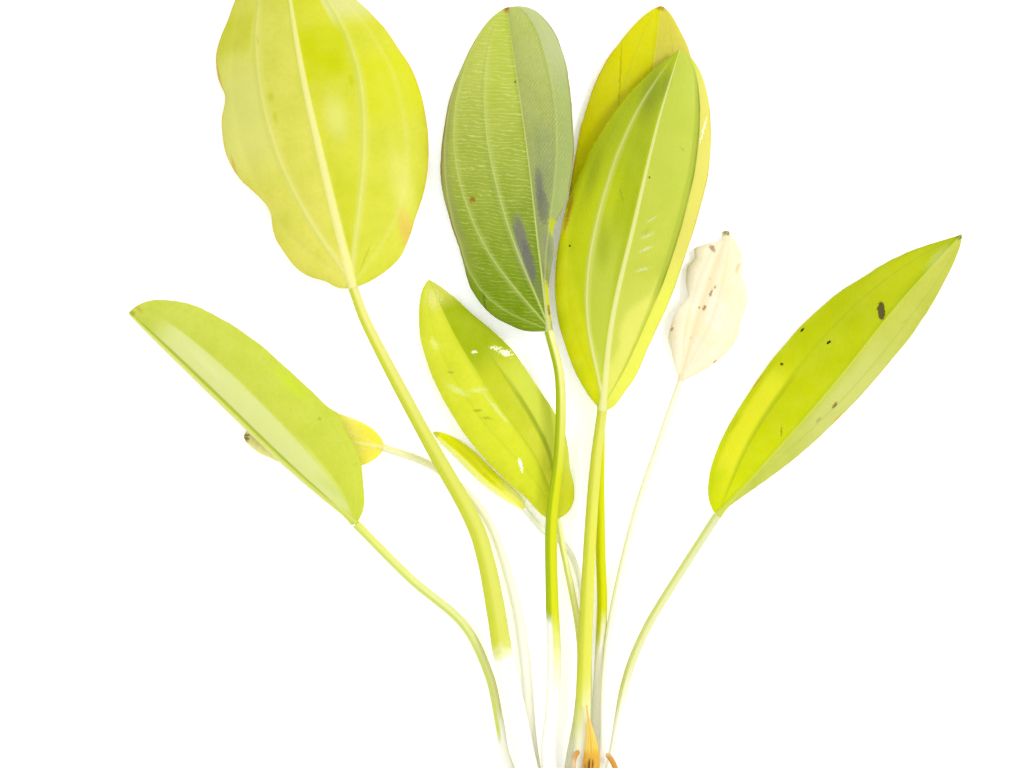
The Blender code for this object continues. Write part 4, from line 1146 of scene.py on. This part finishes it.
def crown_material(colours):
    """Rootstock: pale moist flesh ringed by the corky brown scars of leaves that have gone."""
    material, tree = new_material("moist rootstock")
    where = add(tree, "TexCoord", out="Object")
    spot = add(tree, "SeparateXYZ", where, out=None)
    shake = add(tree, "TexNoise", {
        "Vector": where, "Scale": 1 / (SCAR_BEND * MM), "Detail": 3.0})
    ring = add(tree, "Math", shake, SCAR_SWING * MM, spot.outputs[1], operation="MULTIPLY_ADD")
    ring = add(tree, "Math", ring, SCAR_SPACING / 2 * MM, operation="PINGPONG")
    scar = add(tree, "MapRange", ring, 0.0, SCAR_WIDTH * MM, 0.6, 0.0)
    low = add(tree, "MapRange", spot.outputs[1], (CROWN_Y - 9) * MM, (CROWN_Y - 19) * MM)
    scar = add(tree, "Math", scar, low, operation="MULTIPLY")
    corky = add(tree, "MapRange", low, 0.5, 1.0, 0.0, 0.7)
    base = lay_colours(tree, tuple(colours.crown), [
        (tuple(colours.root), corky), (tuple(colours.scars), scar)])
    return finish_material(material, base, shake, tint=(1.0, 0.97, 0.8), share_through=0.15,
                           roughness=0.45, depth=0.3)


def make_crown(colours):
    """The rootstock: a knobbly bulb, domed between the stalks and at its lower end."""
    path = Path([(0.3, 2, 7.6), (0.3, CROWN_TOP, 7.6), (0.3, -12, 7), (0.2, CROWN_END, 5.6)])
    # The shares of its length that are domed.
    upper_dome, lower_dome = 0.38, 0.2
    rings, sides = 48, 72
    bm = roll_grid(rings, sides)
    maps = {}
    for vert in bm.verts:
        place = (1 + math.sin(vert.co.x * math.pi / 2)) / 2
        angle = vert.co.y * math.pi
        centre = path.at(place)
        # Half-widths: it narrows from below the stalks to the lowest roots.
        down = max(CROWN_TOP - centre.y, 0) / (CROWN_TOP - CROWN_END)
        wide = CROWN_WIDE - CROWN_NARROWING * down ** 1.8
        high = CROWN_THICK - CROWN_THINNING * down ** 1.8
        dome = math.sqrt(max(1 - max(1 - place / upper_dome, 0) ** 2, 0.0))
        into_end = max((place - 1 + lower_dome) / lower_dome, 0)
        dome *= math.sqrt(max(1 - into_end ** 2, 0.0)) * 0.999 + 0.001
        knob = rough(3, math.cos(angle) * 2.5 + centre.y * 0.2, math.sin(angle) * 2.5)
        knobs = 1 + CROWN_KNOBS * knob
        knobs += CROWN_RINGS * math.cos(centre.y * math.tau / SCAR_SPACING)
        across = Vector((-wide * math.cos(angle), 0, high * math.sin(angle)))
        vert.co = (centre + across * dome * knobs) * MM
        maps[vert] = ((place * 0.2, angle * 0.1), (place, 0.5 + math.cos(angle) / 2))
    write_maps(bm, maps)
    mesh = close_up(bm, "crown")
    place_piece("crown", mesh, crown_material(colours), "crown_white")


def root_material(colours, old):
    """Root: a soft rind that is brown and corky near the crown and pale and watery at the tips."""
    material, tree = new_material("corky old root rind" if old else "fibrous root rind")
    place = add(tree, "SeparateXYZ", add(tree, "UVMap", uv_map="place"), out=None)
    where = add(tree, "TexCoord", out="Object")
    rind = add(tree, "TexNoise", {
        "Vector": where, "Scale": 1 / (RIND_WRINKLE * MM), "Detail": 3.0})
    patchy = add(tree, "TexNoise", {
        "Vector": where, "Scale": 1 / (RIND_PATCH * MM), "Detail": 2.0})
    shaken = add(tree, "Math", patchy, 0.5, place.outputs[0], operation="MULTIPLY_ADD")
    # An old root stays corky to its end, with the pale core showing through in patches.
    pale = (add(tree, "MapRange", patchy, 0.5, 0.62, 0.0, 0.7) if old
            else add(tree, "MapRange", shaken, 0.3, 1.2))
    stain = add(tree, "MapRange", rind, 0.5, 0.8, 0.0, 0.5)
    base = lay_colours(tree, tuple(colours.root), [
        (tuple(colours.root_end), pale), (tuple(colours.scars), stain)])
    return finish_material(material, base, rind, tint=(1.0, 1.0, 1.0), share_through=0.2,
                           roughness=0.55, depth=0.2)


def add_rod(bm, maps, path, radius_at, rings, sides, seed, wander):
    """Adds one round rod along a path to a mesh, rolled up from a grid."""
    made = bmesh.ops.create_grid(bm, x_segments=rings, y_segments=sides, size=1)["verts"]
    for vert in made:
        place = round((vert.co.x + 1) / 2 * rings) / rings
        angle = vert.co.y * math.pi
        centre, sideways, upward = rod_frame(path, place)
        drift = wander * math.sin(math.pi * min(place * 2, 1) / 2)
        centre = centre + sideways * drift * rough(seed, place * 3.5)
        centre = centre + upward * drift * 0.5 * rough(seed + 5, place * 3.5)
        uneven = rough(seed, place * 20 + math.cos(angle), math.sin(angle))
        radius = radius_at(place) * (1 + ROOT_UNEVEN * uneven)
        # Both ends are rounded off.
        if place in (0.0, 1.0):
            radius *= ROOT_END
        vert.co = centre + (sideways * math.cos(angle) + upward * math.sin(angle)) * radius
        vert.co.z = max(vert.co.z, BLADE_LIFT)
        vert.co *= MM
        maps[vert] = ((place * path.length / UV_UNIT, angle / UV_UNIT), (place, 0.5))


def make_root(number, points, sizes, material):
    """One main root with its fine side roots, which lie along it and thin out to its tip."""
    old = number <= OLD_ROOTS
    # It starts inside the rootstock, where the CAD leaves a gap. Old roots curl upwards from it.
    first = points[0]
    inset = -ROOT_INSET if old else ROOT_INSET
    foot = (first[0] * 0.75, first[1] + inset, (first[2] + CROWN_LOW) / 2)
    path = Path([foot] + points)
    picker = random.Random(SEED * 100 + number)
    bm = bmesh.new()
    maps = {}
    thick, thin = OLD_ROOT_TAPER if old else ROOT_TAPER
    add_rod(bm, maps, path, lambda place: thick + (thin - thick) * place, *ROOT_GRID, number,
            ROOT_WANDER)
    fine = sizes.rootlet / MM
    for index in range(sizes.rootlets // 4 if old else sizes.rootlets):
        start = picker.uniform(*ROOTLET_START)
        reach = picker.uniform(*ROOTLET_REACH) * (1.1 - start) * (OLD_ROOTLETS if old else 1)
        side = picker.choice((-1, 1))
        centre, sideways, upward = rod_frame(path, start)
        heading = path.heading(start)
        turn = picker.uniform(*ROOTLET_TURN) * side
        lift = picker.uniform(*ROOTLET_RISE)
        points_out = [centre]
        for part in (0.33, 0.66, 1.0):
            spot = centre + heading * reach * part + sideways * turn * reach * part ** 1.3
            spot = spot + upward * lift * reach * part * 0.4
            spot.x += picker.uniform(-0.5, 0.5)
            spot.z = max(spot.z, ROOTLET_LIFT)
            points_out.append(spot)
        add_rod(bm, maps, Path(points_out), lambda place: fine * (1 - 0.6 * place),
                *ROOTLET_GRID, number * 31 + index, ROOTLET_WANDER)
    write_maps(bm, maps)
    place_piece(f"root_{number}", close_up(bm, f"root_{number}"), material, "root_brown")


def settings():
    """The sizes, the colours and the stage as they are set in the scene."""
    scene = bpy.context.scene
    return scene.sword_sizes, scene.sword_colours, scene.sword_stage


class SWORD_OT_blades(bpy.types.Operator):
    """Builds the ten leaf blades with their midribs, side veins and puckers"""
    bl_idname = "sword.blades"
    bl_label = "Leaf blades"

    def execute(self, context):
        sizes, colours, _ = settings()
        for leaf in LEAVES:
            # A row of points for each millimetre.
            rows = max(int(Path(leaf.midrib).length), FEWEST_ROWS)
            make_blade(leaf, rows, sizes, colours, leaf.name + "_blade")
        return {"FINISHED"}


class SWORD_OT_stalks(bpy.types.Operator):
    """Builds the ten leaf stalks, green above and blanched at the base"""
    bl_idname = "sword.stalks"
    bl_label = "Leaf stalks"

    def execute(self, context):
        sizes, colours, _ = settings()
        for leaf in LEAVES:
            make_stalk(leaf, sizes, colours)
        return {"FINISHED"}


class SWORD_OT_crown(bpy.types.Operator):
    """Builds the rootstock and the dried sheath on it"""
    bl_idname = "sword.crown"
    bl_label = "Crown and dried sheath"

    def execute(self, context):
        sizes, colours, _ = settings()
        make_crown(colours)
        make_blade(SHEATH, SHEATH_ROWS, sizes, colours, SHEATH.name)
        return {"FINISHED"}


class SWORD_OT_roots(bpy.types.Operator):
    """Builds the main roots and their fine side roots"""
    bl_idname = "sword.roots"
    bl_label = "Roots"

    def execute(self, context):
        sizes, colours, _ = settings()
        corky, fibrous = root_material(colours, True), root_material(colours, False)
        for number, points in enumerate(ROOTS, start=1):
            make_root(number, points, sizes, corky if number <= OLD_ROOTS else fibrous)
        return {"FINISHED"}


class SWORD_OT_stage(bpy.types.Operator):
    """Sets up the pale table, the soft light and the camera straight above"""
    bl_idname = "sword.stage"
    bl_label = "Table, light and camera"

    def execute(self, context):
        stage = settings()[2]
        scene = context.scene
        bm = bmesh.new()
        bmesh.ops.create_grid(bm, x_segments=1, y_segments=1, size=TABLE_REACH)
        mesh = bpy.data.meshes.new("table")
        bm.to_mesh(mesh)
        bm.free()
        # White acrylic that glows a little, so that shadows on it stay as pale as in the photo.
        material, tree = new_material("pale lit table top")
        skin = add(tree, "BsdfPrincipled", {
            "Base Color": tuple(stage.table), "Roughness": 0.7,
            "Emission Color": tuple(stage.table), "Emission Strength": stage.glow})
        add(tree, "OutputMaterial", {"Surface": skin}, out=None)
        mesh.materials.append(material)
        table = bpy.data.objects.new("table", mesh)
        scene.collection.objects.link(table)

        world = bpy.data.worlds.new("soft daylight")
        world.use_nodes = True
        world.node_tree.nodes["Background"].inputs["Color"].default_value = (1, 1, 1, 1)
        world.node_tree.nodes["Background"].inputs["Strength"].default_value = stage.sky
        scene.world = world

        lamp = bpy.data.lights.new("soft window light", "AREA")
        lamp.shape = "DISK"
        lamp.size = LAMP_SIZE
        lamp.energy = stage.key
        panel = bpy.data.objects.new("soft window light", lamp)
        panel.location = LAMP_PLACE
        panel.rotation_euler = (-panel.location).to_track_quat("-Z", "Y").to_euler()
        scene.collection.objects.link(panel)

        camera = bpy.data.cameras.new("camera")
        camera.lens = camera.sensor_width * stage.distance / stage.view_width
        eye = bpy.data.objects.new("camera", camera)
        eye.location = (VIEW_CENTRE[0] * MM, VIEW_CENTRE[1] * MM, stage.distance)
        scene.collection.objects.link(eye)
        scene.camera = eye
        scene.view_settings.view_transform = "Standard"
        return {"FINISHED"}


class SWORD_PT_panel(bpy.types.Panel):
    """Lists what the plant is made of and what can be changed"""
    bl_idname = "SWORD_PT_panel"
    bl_label = "Amazon sword plant"
    bl_space_type = "VIEW_3D"
    bl_region_type = "UI"
    bl_category = "Sword plant"

    def draw(self, context):
        for step in STEPS:
            self.layout.operator(step.bl_idname)
        for group in settings():
            box = self.layout.box()
            for name in group.__annotations__:
                box.prop(group, name)


ORIGIN = Vector((CROWN_X * MM, CROWN_Y * MM, 0))
# What the middle of the photo shows, in mm.
VIEW_CENTRE = (CROWN_X - 17.5, CROWN_Y + 141.4)
GROUPS = (PlantSizes, PlantColours, StageSettings)
STEPS = (SWORD_OT_blades, SWORD_OT_stalks, SWORD_OT_crown, SWORD_OT_roots, SWORD_OT_stage)


def register():
    for item in (*GROUPS, *STEPS, SWORD_PT_panel):
        bpy.utils.register_class(item)
    scene = bpy.types.Scene
    scene.sword_sizes = bpy.props.PointerProperty(type=PlantSizes)
    scene.sword_colours = bpy.props.PointerProperty(type=PlantColours)
    scene.sword_stage = bpy.props.PointerProperty(type=StageSettings)


def unregister():
    del bpy.types.Scene.sword_sizes
    del bpy.types.Scene.sword_colours
    del bpy.types.Scene.sword_stage
    for item in reversed((*GROUPS, *STEPS, SWORD_PT_panel)):
        bpy.utils.unregister_class(item)


def main():
    register()
    for step in STEPS:
        group, name = step.bl_idname.split(".")
        getattr(getattr(bpy.ops, group), name)()


if __name__ == "__main__":
    main()
